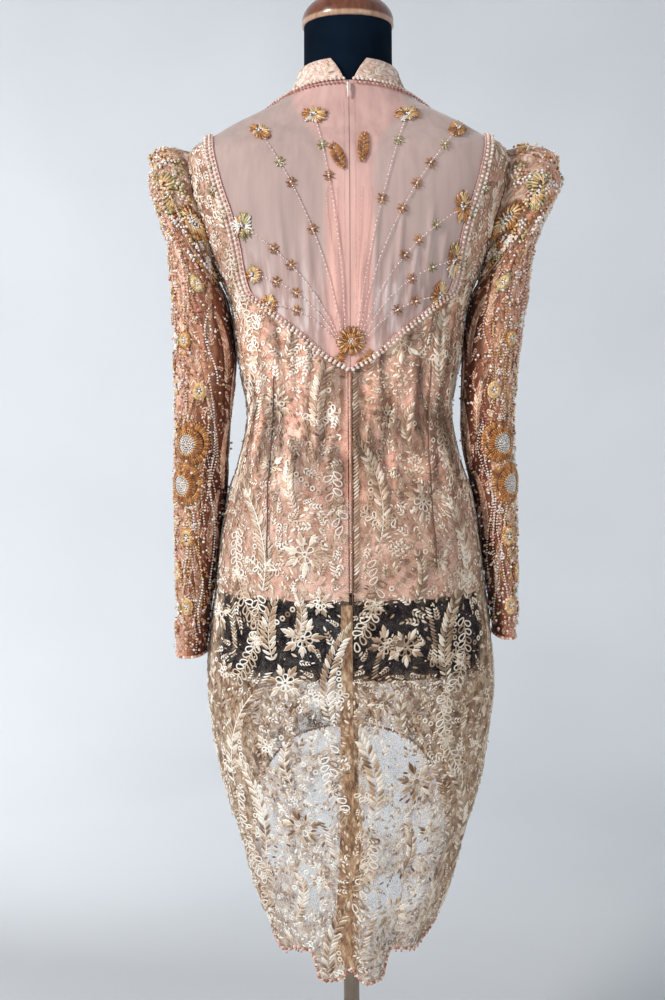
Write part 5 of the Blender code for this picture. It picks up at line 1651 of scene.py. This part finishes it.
class Beadwork:
    """Beads of each kind on one piece of cloth; shown() makes an object for each kind."""

    def __init__(self, flat, lift):
        self.flat, self.lift = flat, lift
        self.batches = {}

    def batch(self, kind):
        return self.batches.setdefault(kind, Batch())

    def place(self, places, lift=0.0):
        places = np.array(places, float).reshape(-1, 2)
        return self.flat.raised(places[:, 0], places[:, 1], self.lift + lift)

    def outward(self, places):
        return unit(self.place(places, 0.001) - self.place(places))

    def beads(self, kind, places, radius, lift=0.0):
        radius = np.broadcast_to(np.asarray(radius, float), (len(places),))
        centres = self.place(places, lift) + self.outward(places) * radius[:, None]
        self.batch(kind).beads(centres, radius)

    def bugles(self, kind, starts, ends, radius, lift=0.0):
        outward = self.outward(starts)
        starts, ends = self.place(starts, lift + radius), self.place(ends, lift + radius)
        self.batch(kind).bugles(starts, ends, radius, outward)

    def ray(self, kind, centre, inner, outer, count, radius, lift=0.0, turn=0.0, sweep=FULL_TURN,
            squash=1.0):
        """Bugles that point away from a centre, as round a flower; squash flattens the round upward."""
        turns = turn + sweep * (np.arange(count) + 0.5) / count
        away = np.stack((np.cos(turns), np.sin(turns) * squash), axis=-1)
        centre = np.array(centre)
        self.bugles(kind, centre + away * inner, centre + away * outer, radius, lift)

    def round_of(self, kind, centre, distance, count, radius, lift=0.0, turn=0.0):
        turns = turn + FULL_TURN * np.arange(count) / count
        away = np.stack((np.cos(turns), np.sin(turns)), axis=-1) * distance
        self.beads(kind, np.array(centre) + away, radius, lift)

    def disc_of(self, kind, centre, reach, radius, lift=0.0):
        """Beads packed in rounds inside a disc."""
        step = radius * 2.1
        for ring in range(1, int(reach / step) + 1):
            count = max(4, int(FULL_TURN * ring * 0.95))
            self.round_of(kind, centre, ring * step, count, radius, lift, 0.4 * ring)
        self.beads(kind, [centre], radius * 1.3, lift)

    def tufts(self, centre, reach, rng, kinds, tall=1.0, lean=0.0):
        """A hand-sewn flower: uneven tufts of bugles that overlap round a heart of pearls."""
        stretched = np.array((1.0, tall))
        cosine, sine = math.cos(lean), math.sin(lean)
        turned = np.array(((cosine, sine), (-sine, cosine)))
        for k, kind in enumerate(kinds):
            turn = FULL_TURN * (k + rng.uniform(-0.2, 0.2)) / len(kinds)
            foot = 0.20 * reach * np.array((math.cos(turn), math.sin(turn)))
            headings = turn + 0.34 * (np.arange(7) - 3) + rng.uniform(-0.12, 0.12, 7)
            away = np.stack((np.cos(headings), np.sin(headings)), axis=-1)
            starts = (foot + away * 0.12 * reach) * stretched
            ends = (foot + away * reach * rng.uniform(0.50, 0.85, (7, 1))) * stretched
            lift = 0.0009 * (k % 2)
            self.bugles(kind, centre + starts @ turned, centre + ends @ turned, 0.0010, lift)
        heart = rng.normal(0, 0.15 * reach, (7, 2)) * stretched
        self.beads("white", centre + heart @ turned, 0.0012, lift=0.0016)

    def bud(self, centre, size, petals="amber"):
        self.ray(petals, centre, 0.15 * size, size, 7, 0.0008)
        self.beads("white", [centre], 0.0014, lift=0.0008)

    def shown(self, name, looks):
        """Make an object of each kind of bead, and give them by kind."""
        return {
            kind: on_form(batch.made("%s_%s" % (name, kind), [looks[kind]]), BEAD_SLOTS[kind])
            for kind, batch in self.batches.items()
        }


BEAD_SLOTS = {
    "pearl": "pearl_beads", "white": "pearl_beads", "pink": "pearl_beads", "coral": "pearl_beads",
    "amber": "amber_beads", "olive": "amber_beads", "gold": "amber_beads",
}

# The sprays fan up from the V; the turn is from upright, toward the piece's own side.
Spray = namedtuple("Spray", "side turn length bow buds head reach tall lean")
AMBER_HEAD = ("amber", "gold", "amber", "amber", "gold", "amber")
MIXED_HEAD = ("amber", "gold", "olive", "amber", "white", "gold")
PALE_HEAD = ("white", "olive", "gold", "white", "amber", "olive")
SPRAYS = [Spray(*row) for row in (
    (-1, 7.5, 0.262, 0.03, (0.72, 0.86), MIXED_HEAD, 0.0150, 0.75, 0),
    (-1, 21.5, 0.258, 0.06, (0.52, 0.74, 0.84), AMBER_HEAD, 0.0150, 0.60, -35),
    (-1, 40, 0.176, 0.09, (0.60, 0.76), PALE_HEAD, 0.0145, 1.15, 0),
    (-1, 51, 0.130, 0.12, (0.58, 0.78), MIXED_HEAD, 0.0115, 0.95, 0),
    (-1, 60, 0.094, 0.12, (0.66,), AMBER_HEAD, 0.0115, 1.05, 0),
    (1, 13, 0.268, 0.03, (0.62, 0.88), MIXED_HEAD, 0.0165, 0.60, 12),
    (1, 26, 0.272, 0.08, (0.58, 0.70, 0.80, 0.90), AMBER_HEAD, 0.0150, 0.65, 30),
    (1, 38, 0.196, 0.11, (0.56, 0.68, 0.82), AMBER_HEAD, 0.0115, 1.75, 8),
    (1, 49, 0.148, 0.13, (0.64, 0.82), MIXED_HEAD, 0.0115, 1.80, -6),
    (1, 59, 0.108, 0.12, (0.52, 0.74), AMBER_HEAD, 0.0120, 1.55, -12),
)]
SPRAY_FOOT_HEIGHT = 1.112


def spray_line(spray):
    """Places along a spray's stem, from its foot near the V to its head."""
    turn = math.radians(spray.turn)
    foot = np.array((spray.side * (0.004 + 0.010 * math.sin(turn)), SPRAY_FOOT_HEIGHT))
    forward = np.array((spray.side * math.sin(turn), math.cos(turn)))
    outward = np.array((spray.side * math.cos(turn), -math.sin(turn)))
    share = np.linspace(0, 1, 60)[:, None]
    bowed = -spray.bow * 4 * share * (1 - share)
    return foot + (forward * share + outward * bowed) * spray.length


def herringbone(work, centre, turn, length, width):
    """A long oval of bugles in a herringbone on both sides of a row of beads."""
    along = np.array((math.cos(turn), math.sin(turn)))
    aside = np.array((-along[1], along[0]))
    count = int(length / 0.0021)
    share = np.linspace(-0.5, 0.5, count)[:, None]
    spine = np.array(centre) + along * share * length
    reach = width / 2 * np.sqrt(np.clip(1.06 - (2 * share) ** 2, 0.1, 1.0))
    for hand in (-1, 1):
        starts = spine + aside * hand * 0.0012
        ends = spine + aside * hand * reach + along * 0.0022
        work.bugles("amber", starts, ends, 0.0010)
    work.beads("gold", spine[1:-1:2], 0.0011, lift=0.0010)


def build_yoke_beads(looks):
    rng = np.random.default_rng(YOKE_BEAD_SEED)
    work = Beadwork(FlatYoke(), YOKE_BEAD_LIFT)
    for spray in SPRAYS:
        line = spray_line(spray)
        places = evenly(line, 0.0026)
        work.beads("pink", places[0::2], 0.00085)
        work.beads("white", places[1::2], 0.0010)
        for share in spray.buds:
            at = line[int(share * (len(line) - 1))]
            work.bud(at, 0.0062, "olive" if share > 0.8 else "amber")
        work.tufts(line[-1], spray.reach, rng, spray.head, spray.tall, math.radians(spray.lean))
    for x, bow in ((-0.011, 0.004), (-0.020, 0.006), (0.010, -0.003), (0.017, -0.006)):
        rise = np.linspace(0, 1, 40)
        line = np.stack((x + bow * np.sin(5 * rise), 1.120 + 0.165 * rise), axis=-1)
        work.beads("pink", evenly(line, 0.0030), 0.0007)
    herringbone(work, (-0.0125, 1.3190), math.radians(116), 0.030, 0.0135)
    herringbone(work, (0.0155, 1.3290), math.radians(84), 0.033, 0.0130)
    heart = (0.001, 1.1165)
    work.ray("amber", heart, 0.0070, 0.0168, 24, 0.0011)
    work.ray("gold", heart, 0.0095, 0.0150, 13, 0.0009, lift=0.0010, turn=0.1)
    work.ray("amber", heart, 0.0036, 0.0088, 20, 0.0011, lift=0.0016)
    work.round_of("white", heart, 0.0026, 6, 0.0012, lift=0.0016)
    work.beads("pearl", [heart], 0.0017, lift=0.0022)
    for side in (-1, 1):
        below = (side * 0.0155, 1.0990)
        work.ray("amber", below, 0.0030, 0.0110, 12, 0.0010, turn=-2.6, sweep=3.6)
        work.beads("olive", [below], 0.0018)
    work.shown("yoke_sprays", looks)


def edge_line(heights, lift, aside=0.0, face="back"):
    """The yoke's edge at +X as points of the figure, moved aside across the cloth."""
    angle = angle_at(curve_through(YOKE_EDGE, 1, heights) + aside, heights)
    return figure_points(to_face(angle, face, 1), heights, np.full(len(heights), lift))


def build_edge_beads(looks):
    """Two rows of pearls along the yoke's edge at the back, one at the front, and the collar's two rows."""
    heights = np.linspace(1.0835, 1.357, 160)
    rows = [
        ("pearl", 0.0026, 0.00240, 0.0056, 0.0),
        ("pearl", -0.0022, 0.00205, 0.0056, 0.5),
        ("pink", -0.0053, 0.00095, 0.0026, 0.0),
    ]
    for face, prefix, hand in (("back", "yoke_edge", 1), ("front", "yoke_front_edge", -1)):
        for word, side in SIDES.items():
            asides = np.linspace(-0.0052, 0.0058, 7)[::side * hand]
            lines = [edge_line(heights, EDGE_TAPE_LIFT, aside, face) * (side, 1, 1) for aside in asides]
            made = sheet_mesh("%s_tape_%s" % (prefix, word), np.stack(lines, axis=1), looks["edge_tape"])
            on_form(made, "peach_satin")
    batches = {"pearl": Batch(), "pink": Batch()}
    front = Batch()
    for side in SIDES.values():
        line = edge_line(heights, EDGE_BEAD_LIFT, 0.0, "front") * (side, 1, 1)
        front.beads(evenly(line, 0.0048), 0.0018)
    on_form(front.made("yoke_front_edge_pearls", [looks["pearl"]]), "pearl_beads")
    for kind, aside, radius, spacing, shift in rows:
        line = edge_line(heights, EDGE_TAPE_LIFT + radius, aside)
        for mirror in (-1, 1):
            places = evenly(line * (mirror, 1, 1), spacing)
            places = halfway(places) if shift else places
            batches[kind].beads(places, radius)
    made = batches["pearl"].made("yoke_edge_pearls", [looks["pearl"]])
    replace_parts(on_form(made, "pearl_beads"), "yoke_edging_back")
    on_form(batches["pink"].made("yoke_edge_pink_beads", [looks["pink"]]), "pearl_beads")
    angles = np.linspace(COLLAR_SPLIT_BASE, FULL_TURN - COLLAR_SPLIT_BASE, 240)
    batch, small = Batch(), Batch()
    for drop, radius, spacing, shift in ((-0.0006, 0.0020, 0.0050, 0), (0.0036, 0.0016, 0.0050, 1)):
        line = figure_points(angles, collar_base_height(angles) - drop, COLLAR_BEAD_LIFT)
        places = evenly(line, spacing)
        (small if shift else batch).beads(halfway(places) if shift else places, radius)
    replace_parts(on_form(batch.made("collar_pearls", [looks["pearl"]]), "pearl_beads"), "collar_edging")
    on_form(small.made("collar_small_pearls", [looks["coral"]]), "pearl_beads")


def drops(line, away, batches, spacing, rng):
    """A fringe of short strings of beads, hanging from every other bead of an edge."""
    kinds = ("amber", "coral", "pearl")
    for place, direction in zip(evenly(line, spacing), evenly(away, spacing)):
        for k in range(rng.integers(1, 3)):
            kind = kinds[(k + int(rng.integers(0, 3))) % 3]
            batches[kind].beads(place + direction * (0.0032 + 0.0026 * k), 0.00140 - 0.0001 * k)


def build_hem_and_cuff_beads(looks):
    rng = np.random.default_rng(HEM_BEAD_SEED)
    edge_beads = (("pearl", 0.0023), ("coral", 0.0020), ("amber", 0.0019))
    angles = np.linspace(0, FULL_TURN, 721)
    heights = hem_height(angles)
    hem = figure_points(angles, heights, NET_LIFT)
    down = unit(hem - figure_points(angles, heights + 0.01, NET_LIFT))
    lines = {"hem": (hem, down, "hem_edging")}
    around = np.linspace(0, FULL_TURN, 181)
    for word, side in SIDES.items():
        cuff = sleeve_points(side, 0.0, around, SLEEVE_LIFT)
        lines["cuff_%s" % word] = (cuff, np.tile((0.0, 0.0, -1.0), (181, 1)), "cuff_edging_%s" % word)
    for name, (line, away, node) in lines.items():
        batches = {kind: Batch() for kind, _ in edge_beads}
        edge = evenly(line + away * 0.0016, 0.0035)[:-1]
        for start, (kind, radius) in enumerate(edge_beads):
            batches[kind].beads(edge[start::len(edge_beads)], radius)
        drops(line, away, batches, 0.0066, rng)
        for kind, batch in batches.items():
            made = on_form(batch.made("%s_%s_beads" % (name, kind), [looks[kind]]), BEAD_SLOTS[kind])
            if kind == "pearl":
                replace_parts(made, node)


# ---------------------------------------------------------------- sleeves' beadwork
MedallionPlace = namedtuple("MedallionPlace", "name height around")
MEDALLIONS = [
    MedallionPlace("upper", 0.997, math.radians(68)), MedallionPlace("lower", 0.948, math.radians(58)),
]

# Beaded roses on both sleeves: height, degrees from the outer line, bead and reach.
SLEEVE_ROSES = [
    (1.262, 104, "amber", 0.0165), (1.290, 70, "olive", 0.0130), (1.185, 96, "olive", 0.0085),
    (1.120, 62, "amber", 0.0090), (1.060, 88, "gold", 0.0080), (0.885, 74, "amber", 0.0105),
    (0.842, 46, "amber", 0.0095), (0.802, 78, "gold", 0.0085),
]


def sleeve_place(flat, height, around):
    """Where a height is reached on a sleeve's line, as a flat place."""
    up = np.linspace(0, flat.length * 0.97, 500)
    row = np.interp(up, flat.lengths, flat.rows)
    reached = sleeve_surface(flat.side, row, np.full(500, around))[:, 2]
    y = float(np.interp(height, reached, up))
    girth = np.interp(np.interp(y, flat.lengths, flat.rows), flat.rows, flat.girths)
    return np.array((around / FULL_TURN * girth, y))


def sew_medallions(flat, word, looks):
    """The discs at the elbow, each an object of its own, as its solid is."""
    for spec in MEDALLIONS:
        centre = sleeve_place(flat, spec.height, spec.around)
        work = Beadwork(flat, 0.0012)
        work.ray("amber", centre, 0.0125, 0.0205, 42, 0.0014)
        work.ray("amber", centre, 0.0120, 0.0170, 34, 0.0012, lift=0.0016)
        work.round_of("gold", centre, 0.0125, 26, 0.0011, lift=0.0022)
        work.disc_of("white", centre, 0.0115, 0.00125, lift=0.0004)
        name = "medallion_%s_%s" % (spec.name, word)
        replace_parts(work.shown("%s_beads" % name, looks)["amber"], name)


def sew_roses(work, flat):
    """Rays beside the medallions, and the roses."""
    for spec in MEDALLIONS:
        beside = sleeve_place(flat, spec.height, spec.around) + (0.0045, 0.0010)
        work.ray("amber", beside, 0.0185, 0.0255, 34, 0.0014, turn=-1.9, sweep=3.9)
        work.round_of("gold", beside, 0.0275, 40, 0.0010)
    for height, degrees, kind, reach in SLEEVE_ROSES:
        centre = sleeve_place(flat, height, math.radians(degrees))
        work.ray(kind, centre, 0.45 * reach, reach, 26, 0.0014, squash=1.25)
        work.ray("gold", centre, 0.40 * reach, 0.75 * reach, 18, 0.0012, lift=0.0016, squash=1.25)
        work.disc_of("white", centre, 0.42 * reach, 0.0014, lift=0.0006)


def sew_strings(work, length, rng, count=44):
    """Wavering strings of beads up the sleeve."""
    kinds = ("pearl", "gold", "white", "gold", "coral", "pearl")
    rise = np.linspace(0, 1, 50)
    for k in range(count):
        x, y = rng.uniform(0.004, 0.084), rng.uniform(0.0, 0.80) * length
        reach, sway, phase = rng.uniform(0.06, 0.15), rng.uniform(0.003, 0.009), rng.uniform(0, 6)
        line = np.stack((x + sway * np.sin(5 * rise + phase), y + reach * rise), axis=-1)
        line = line[line[:, 1] < length - 0.05]
        if len(line) >= 8:
            work.beads(kinds[k % 6], evenly(line, 0.0034), rng.uniform(0.0010, 0.0014))


def sew_scattered(work, places, kinds, rng, sizes):
    """Single beads at these places, of kinds drawn for each."""
    drawn = rng.integers(0, len(kinds), len(places))
    for index, kind in enumerate(kinds):
        chosen = places[drawn == index]
        work.beads(kind, chosen, rng.uniform(*sizes, len(chosen)))


def sew_tufts_and_rounds(work, length, rng):
    """Tufts up the outer side, packed discs over the gathered head, and rounds of six up the middle."""
    for k in range(18):
        centre = np.array((0.006 + 0.020 * (k % 2) + rng.uniform(-0.003, 0.003), 0.030 + 0.027 * k))
        kinds = (("amber", "gold"), ("olive", "white"), ("pearl", "gold"))[k % 3]
        work.tufts(centre, rng.uniform(0.0075, 0.0110), rng, kinds * 2)
    for k in range(86):
        centre = np.array((rng.uniform(0.000, 0.170), rng.uniform(0.850, 0.985) * length))
        kind = ("pearl", "olive", "gold", "white", "pearl", "amber")[k % 6]
        work.disc_of(kind, centre, rng.uniform(0.0035, 0.0065), 0.0017)
    for k in range(9):
        centre = np.array((0.030 + 0.030 * rng.random(), (0.08 + 0.1 * k) * length))
        work.round_of("white", centre, 0.0030, 6, 0.0013)
        work.beads("pink", [centre], 0.0014)


def build_sleeve_beads(looks):
    count = 1050
    for word, side in SIDES.items():
        rng = np.random.default_rng(SLEEVE_BEAD_SEED + side)
        flat = FlatSleeve(side)
        sew_medallions(flat, word, looks)
        work = Beadwork(flat, 0.0007)
        sew_roses(work, flat)
        sew_strings(work, flat.length, rng)
        across, up = rng.normal(0.045, 0.032, count), rng.uniform(0.01, 0.97, count) * flat.length
        kinds = ("pearl", "gold", "white", "amber", "coral", "pearl")
        sew_scattered(work, np.column_stack((across, up)), kinds, rng, (0.0010, 0.0020))
        sew_tufts_and_rounds(work, flat.length, rng)
        work.shown("sleeve_%s_beads" % word, looks)


def build_body_beads(looks):
    """Small pearls sewn here and there on the lace, more of them up the sides of the yoke."""
    panel_count, strip_count = 330, 130
    for word, side in SIDES.items():
        rng = np.random.default_rng(BODY_BEAD_SEED + side)
        flat = FlatPanel("back", side)
        work = Beadwork(flat, MOTIF_LIFT + 0.0003)
        places = np.concatenate([
            np.column_stack((rng.uniform(*across, count), rng.uniform(*heights, count)))
            for across, heights, count in (((0.01, 0.20), (0.37, 1.16), panel_count),
                                           ((0.12, 0.22), (1.16, 1.345), strip_count))
        ])
        places = places[flat.inside(places[:, 0], places[:, 1])]
        sew_scattered(work, places, ("pearl", "white", "pink", "gold"), rng, (0.0007, 0.0012))
        for centre in ((0.150, 1.318), (0.146, 1.262), (0.137, 1.206), (0.160, 1.290)):
            work.ray("olive", centre, 0.0015, 0.0075, 10, 0.0010)
            work.round_of("white", centre, 0.0022, 5, 0.0011, lift=0.0012)
        work.shown("lace_back_%s_beads" % word, looks)


# ================================================================ stage, light and camera
def build_stage():
    """A pale floor that curves up into a cove all round, so that no edge shows behind the form."""
    reach, bend = 3.2, 1.5
    turns = np.linspace(0, QUARTER_TURN, 24)
    profile = [(0.0, -0.0006), (1.0, -0.0006)]
    profile += [
        (reach - bend + bend * math.sin(turn), bend - 0.0006 - bend * math.cos(turn)) for turn in turns
    ]
    profile += [(reach, 2.6), (2.9, 3.5), (2.1, 4.2), (0.0, 4.6)]
    stops = [(0.3, (0.64, 0.665, 0.69)), (0.7, (0.70, 0.725, 0.75))]
    look = mottled_look("cove_look", stops, 0.8, roughness=0.9)
    turned_mesh("cove", profile, look.material, steps=96)


def add_light(name, place, target, size, power, colour):
    lamp = bpy.data.lights.new(name, "AREA")
    lamp.shape = "DISK"
    lamp.size = size
    lamp.energy = power
    lamp.color = colour
    made = bpy.data.objects.new(name, lamp)
    bpy.context.scene.collection.objects.link(made)
    made.location = place
    made.rotation_euler = (Vector(target) - Vector(place)).to_track_quat("-Z", "Y").to_euler()
    return made


CAMERA_PLACE, CAMERA_LENS, SENSOR_WIDTH = (-0.0205, -1.45, 1.055), 42.5, 36
CAMERA_PITCH, CAMERA_ROLL = 5.1, 0.3  # degrees: down from level, and to the right
WORLD_COLOUR, WORLD_STRENGTH = (0.86, 0.90, 0.95, 1.0), 0.33


def build_light_and_camera():
    chest = (0.0, 0.0, 1.0)
    add_light("key", (-1.9, -1.5, 2.1), chest, 0.6, 58, (1.0, 0.965, 0.93))
    add_light("fill", (1.6, -2.2, 1.3), chest, 1.6, 16, (1.0, 0.98, 0.97))
    add_light("back_wash", (-1.2, 0.9, 1.5), (-0.9, 3.0, 1.3), 2.2, 30, (0.97, 0.985, 1.0))
    world = bpy.data.worlds.new("studio")
    bpy.context.scene.world = world
    world.use_nodes = True
    background = world.node_tree.nodes["Background"]
    background.inputs["Color"].default_value = WORLD_COLOUR
    background.inputs["Strength"].default_value = WORLD_STRENGTH
    lens = bpy.data.cameras.new("photo_camera")
    lens.lens = CAMERA_LENS
    lens.sensor_width = SENSOR_WIDTH
    lens.sensor_fit = "AUTO"
    camera = bpy.data.objects.new("photo_camera", lens)
    bpy.context.scene.collection.objects.link(camera)
    camera.location = CAMERA_PLACE
    camera.rotation_euler = (math.radians(90 - CAMERA_PITCH), math.radians(CAMERA_ROLL), 0.0)
    bpy.context.scene.camera = camera
    bpy.context.scene.view_settings.view_transform = "Standard"


BEAD_COLOURS = {
    "pearl": ((0.68, 0.46, 0.38), (0.95, 0.84, 0.75)),
    "white": ((0.74, 0.70, 0.66), (0.95, 0.93, 0.90)),
    "pink": ((0.72, 0.30, 0.28), (0.90, 0.62, 0.58)),
    "coral": ((0.50, 0.14, 0.10), (0.82, 0.45, 0.38)),
    "amber": ((0.22, 0.062, 0.014), (0.64, 0.30, 0.095)),
    "olive": ((0.26, 0.20, 0.06), (0.66, 0.62, 0.36)),
    "gold": ((0.55, 0.30, 0.11), (0.88, 0.66, 0.38)),
}


# Each lace ground's darkest, middle and palest thread; the right's are darker and warmer, painted shade on
# the half away from the key lamp.
NET_COLOURS = {
    "left": ((0.34, 0.17, 0.08), (0.62, 0.42, 0.27), (0.93, 0.81, 0.68)),
    "right": ((0.30, 0.14, 0.06), (0.60, 0.375, 0.215), (0.84, 0.65, 0.47)),
}
# Each thread's name, roughness, quietness and stops.
THREADS = {
    "cord": ("lace_cord_look", 0.45, 0.22, [
        (0.27, (0.27, 0.15, 0.078)), (0.46, (0.78, 0.62, 0.47)), (0.62, (1.0, 0.97, 0.90)),
    ]),
    # The right half's cords: the left's tones made darker and warmer, painted shade on the half away from the
    # key lamp.
    "cord_right": ("lace_cord_right_look", 0.45, 0.26, [
        (0.27, (0.22, 0.125, 0.065)), (0.49, (0.64, 0.49, 0.35)), (0.68, (0.93, 0.83, 0.70)),
    ]),
    "fill": ("lace_fill_look", 0.6, 0.25, [
        (0.27, (0.12, 0.055, 0.024)), (0.49, (0.50, 0.32, 0.19)), (0.70, (0.92, 0.80, 0.66)),
    ]),
    "sleeve_cord": ("sleeve_cord_look", 0.45, 0.0, [
        (0.25, (0.42, 0.19, 0.10)), (0.50, (0.68, 0.40, 0.27)), (0.75, (0.88, 0.68, 0.53)),
    ]),
    "sleeve_fill": ("sleeve_fill_look", 0.6, 0.0, [
        (0.25, (0.26, 0.09, 0.04)), (0.50, (0.50, 0.26, 0.15)), (0.75, (0.72, 0.46, 0.33)),
    ]),
    "edge_tape": ("edge_tape_look", 0.45, 0.0, [
        (0.25, (0.48, 0.30, 0.25)), (0.50, (0.70, 0.50, 0.43)), (0.75, (0.86, 0.70, 0.62)),
    ]),
    # Dark lines of painted shadow in the grooves of the zip's edge and the darts.
    "seam": ("seam_shadow_look", 0.7, 0.0, [
        (0.25, (0.060, 0.022, 0.012)), (0.50, (0.13, 0.050, 0.028)), (0.75, (0.22, 0.09, 0.05)),
    ]),
}


def make_looks():
    looks = {"satin": satin_look()}
    for word, side in SIDES.items():
        looks["net_%s" % word] = net_look("gold_lace_%s_look" % word, side, *NET_COLOURS[word])
    looks["tulle"] = tulle_look()
    stops = [(0.40, (0.13, 0.055, 0.020)), (0.51, (0.34, 0.185, 0.090)), (0.63, (0.66, 0.48, 0.31))]
    looks["tape"] = mottled_look(
        "seam_tape_look", stops, 0.006, (1.0, 1.0, 0.35), bump=(0.8, 0.0014),
        noise={"detail": 6.0, "roughness": 0.8}, roughness=0.55, Sheen_Weight=0.2,
    ).material
    stops = [(0.35, (0.48, 0.28, 0.21)), (0.52, (0.72, 0.50, 0.43)), (0.68, (0.90, 0.78, 0.70))]
    looks["collar"] = mottled_look(
        "collar_look", stops, 0.007, bump=(0.6, 0.0010), kind="UV",
        noise={"detail": 4.0, "roughness": 0.7, "distortion": 1.0}, roughness=0.5, Sheen_Weight=0.3,
        Sheen_Roughness=0.4,
    ).material
    looks["sleeve_left"] = looks["sleeve_right"] = sleeve_look()
    stops = [(0.35, (0.78, 0.52, 0.46)), (0.65, (0.93, 0.76, 0.70))]
    looks["enamel"] = mottled_look(
        "zip_enamel_look", stops, 0.0016, roughness=0.25, metallic=0.5, Coat_Weight=0.4
    ).material
    for kind, (name, roughness, quietness, stops) in THREADS.items():
        looks[kind] = thread_look(name, stops, roughness, quietness)
    for kind, (dark, pale) in BEAD_COLOURS.items():
        looks[kind] = bead_look("%s_bead_look" % kind, [(0.0, dark), (1.0, pale)])
    return looks


def main():
    nodes, looks = frame["nodes"], make_looks()
    build_torso()
    build_hard_parts(nodes)
    for build in (
        build_lining, build_lace_grounds, build_lace_motifs, build_small_lace, build_seams, build_yoke,
        build_facings, build_collar, build_sleeves, build_zip, build_zip_teeth,
    ):
        build(looks)
    for name in ("zip_slider", "zip_pull_tab"):
        nodes[name].data.materials[0] = looks["enamel"]
    for build in (
        build_yoke_beads, build_edge_beads, build_hem_and_cuff_beads, build_sleeve_beads, build_body_beads,
    ):
        build(looks)
    build_stage()
    build_light_and_camera()


main()
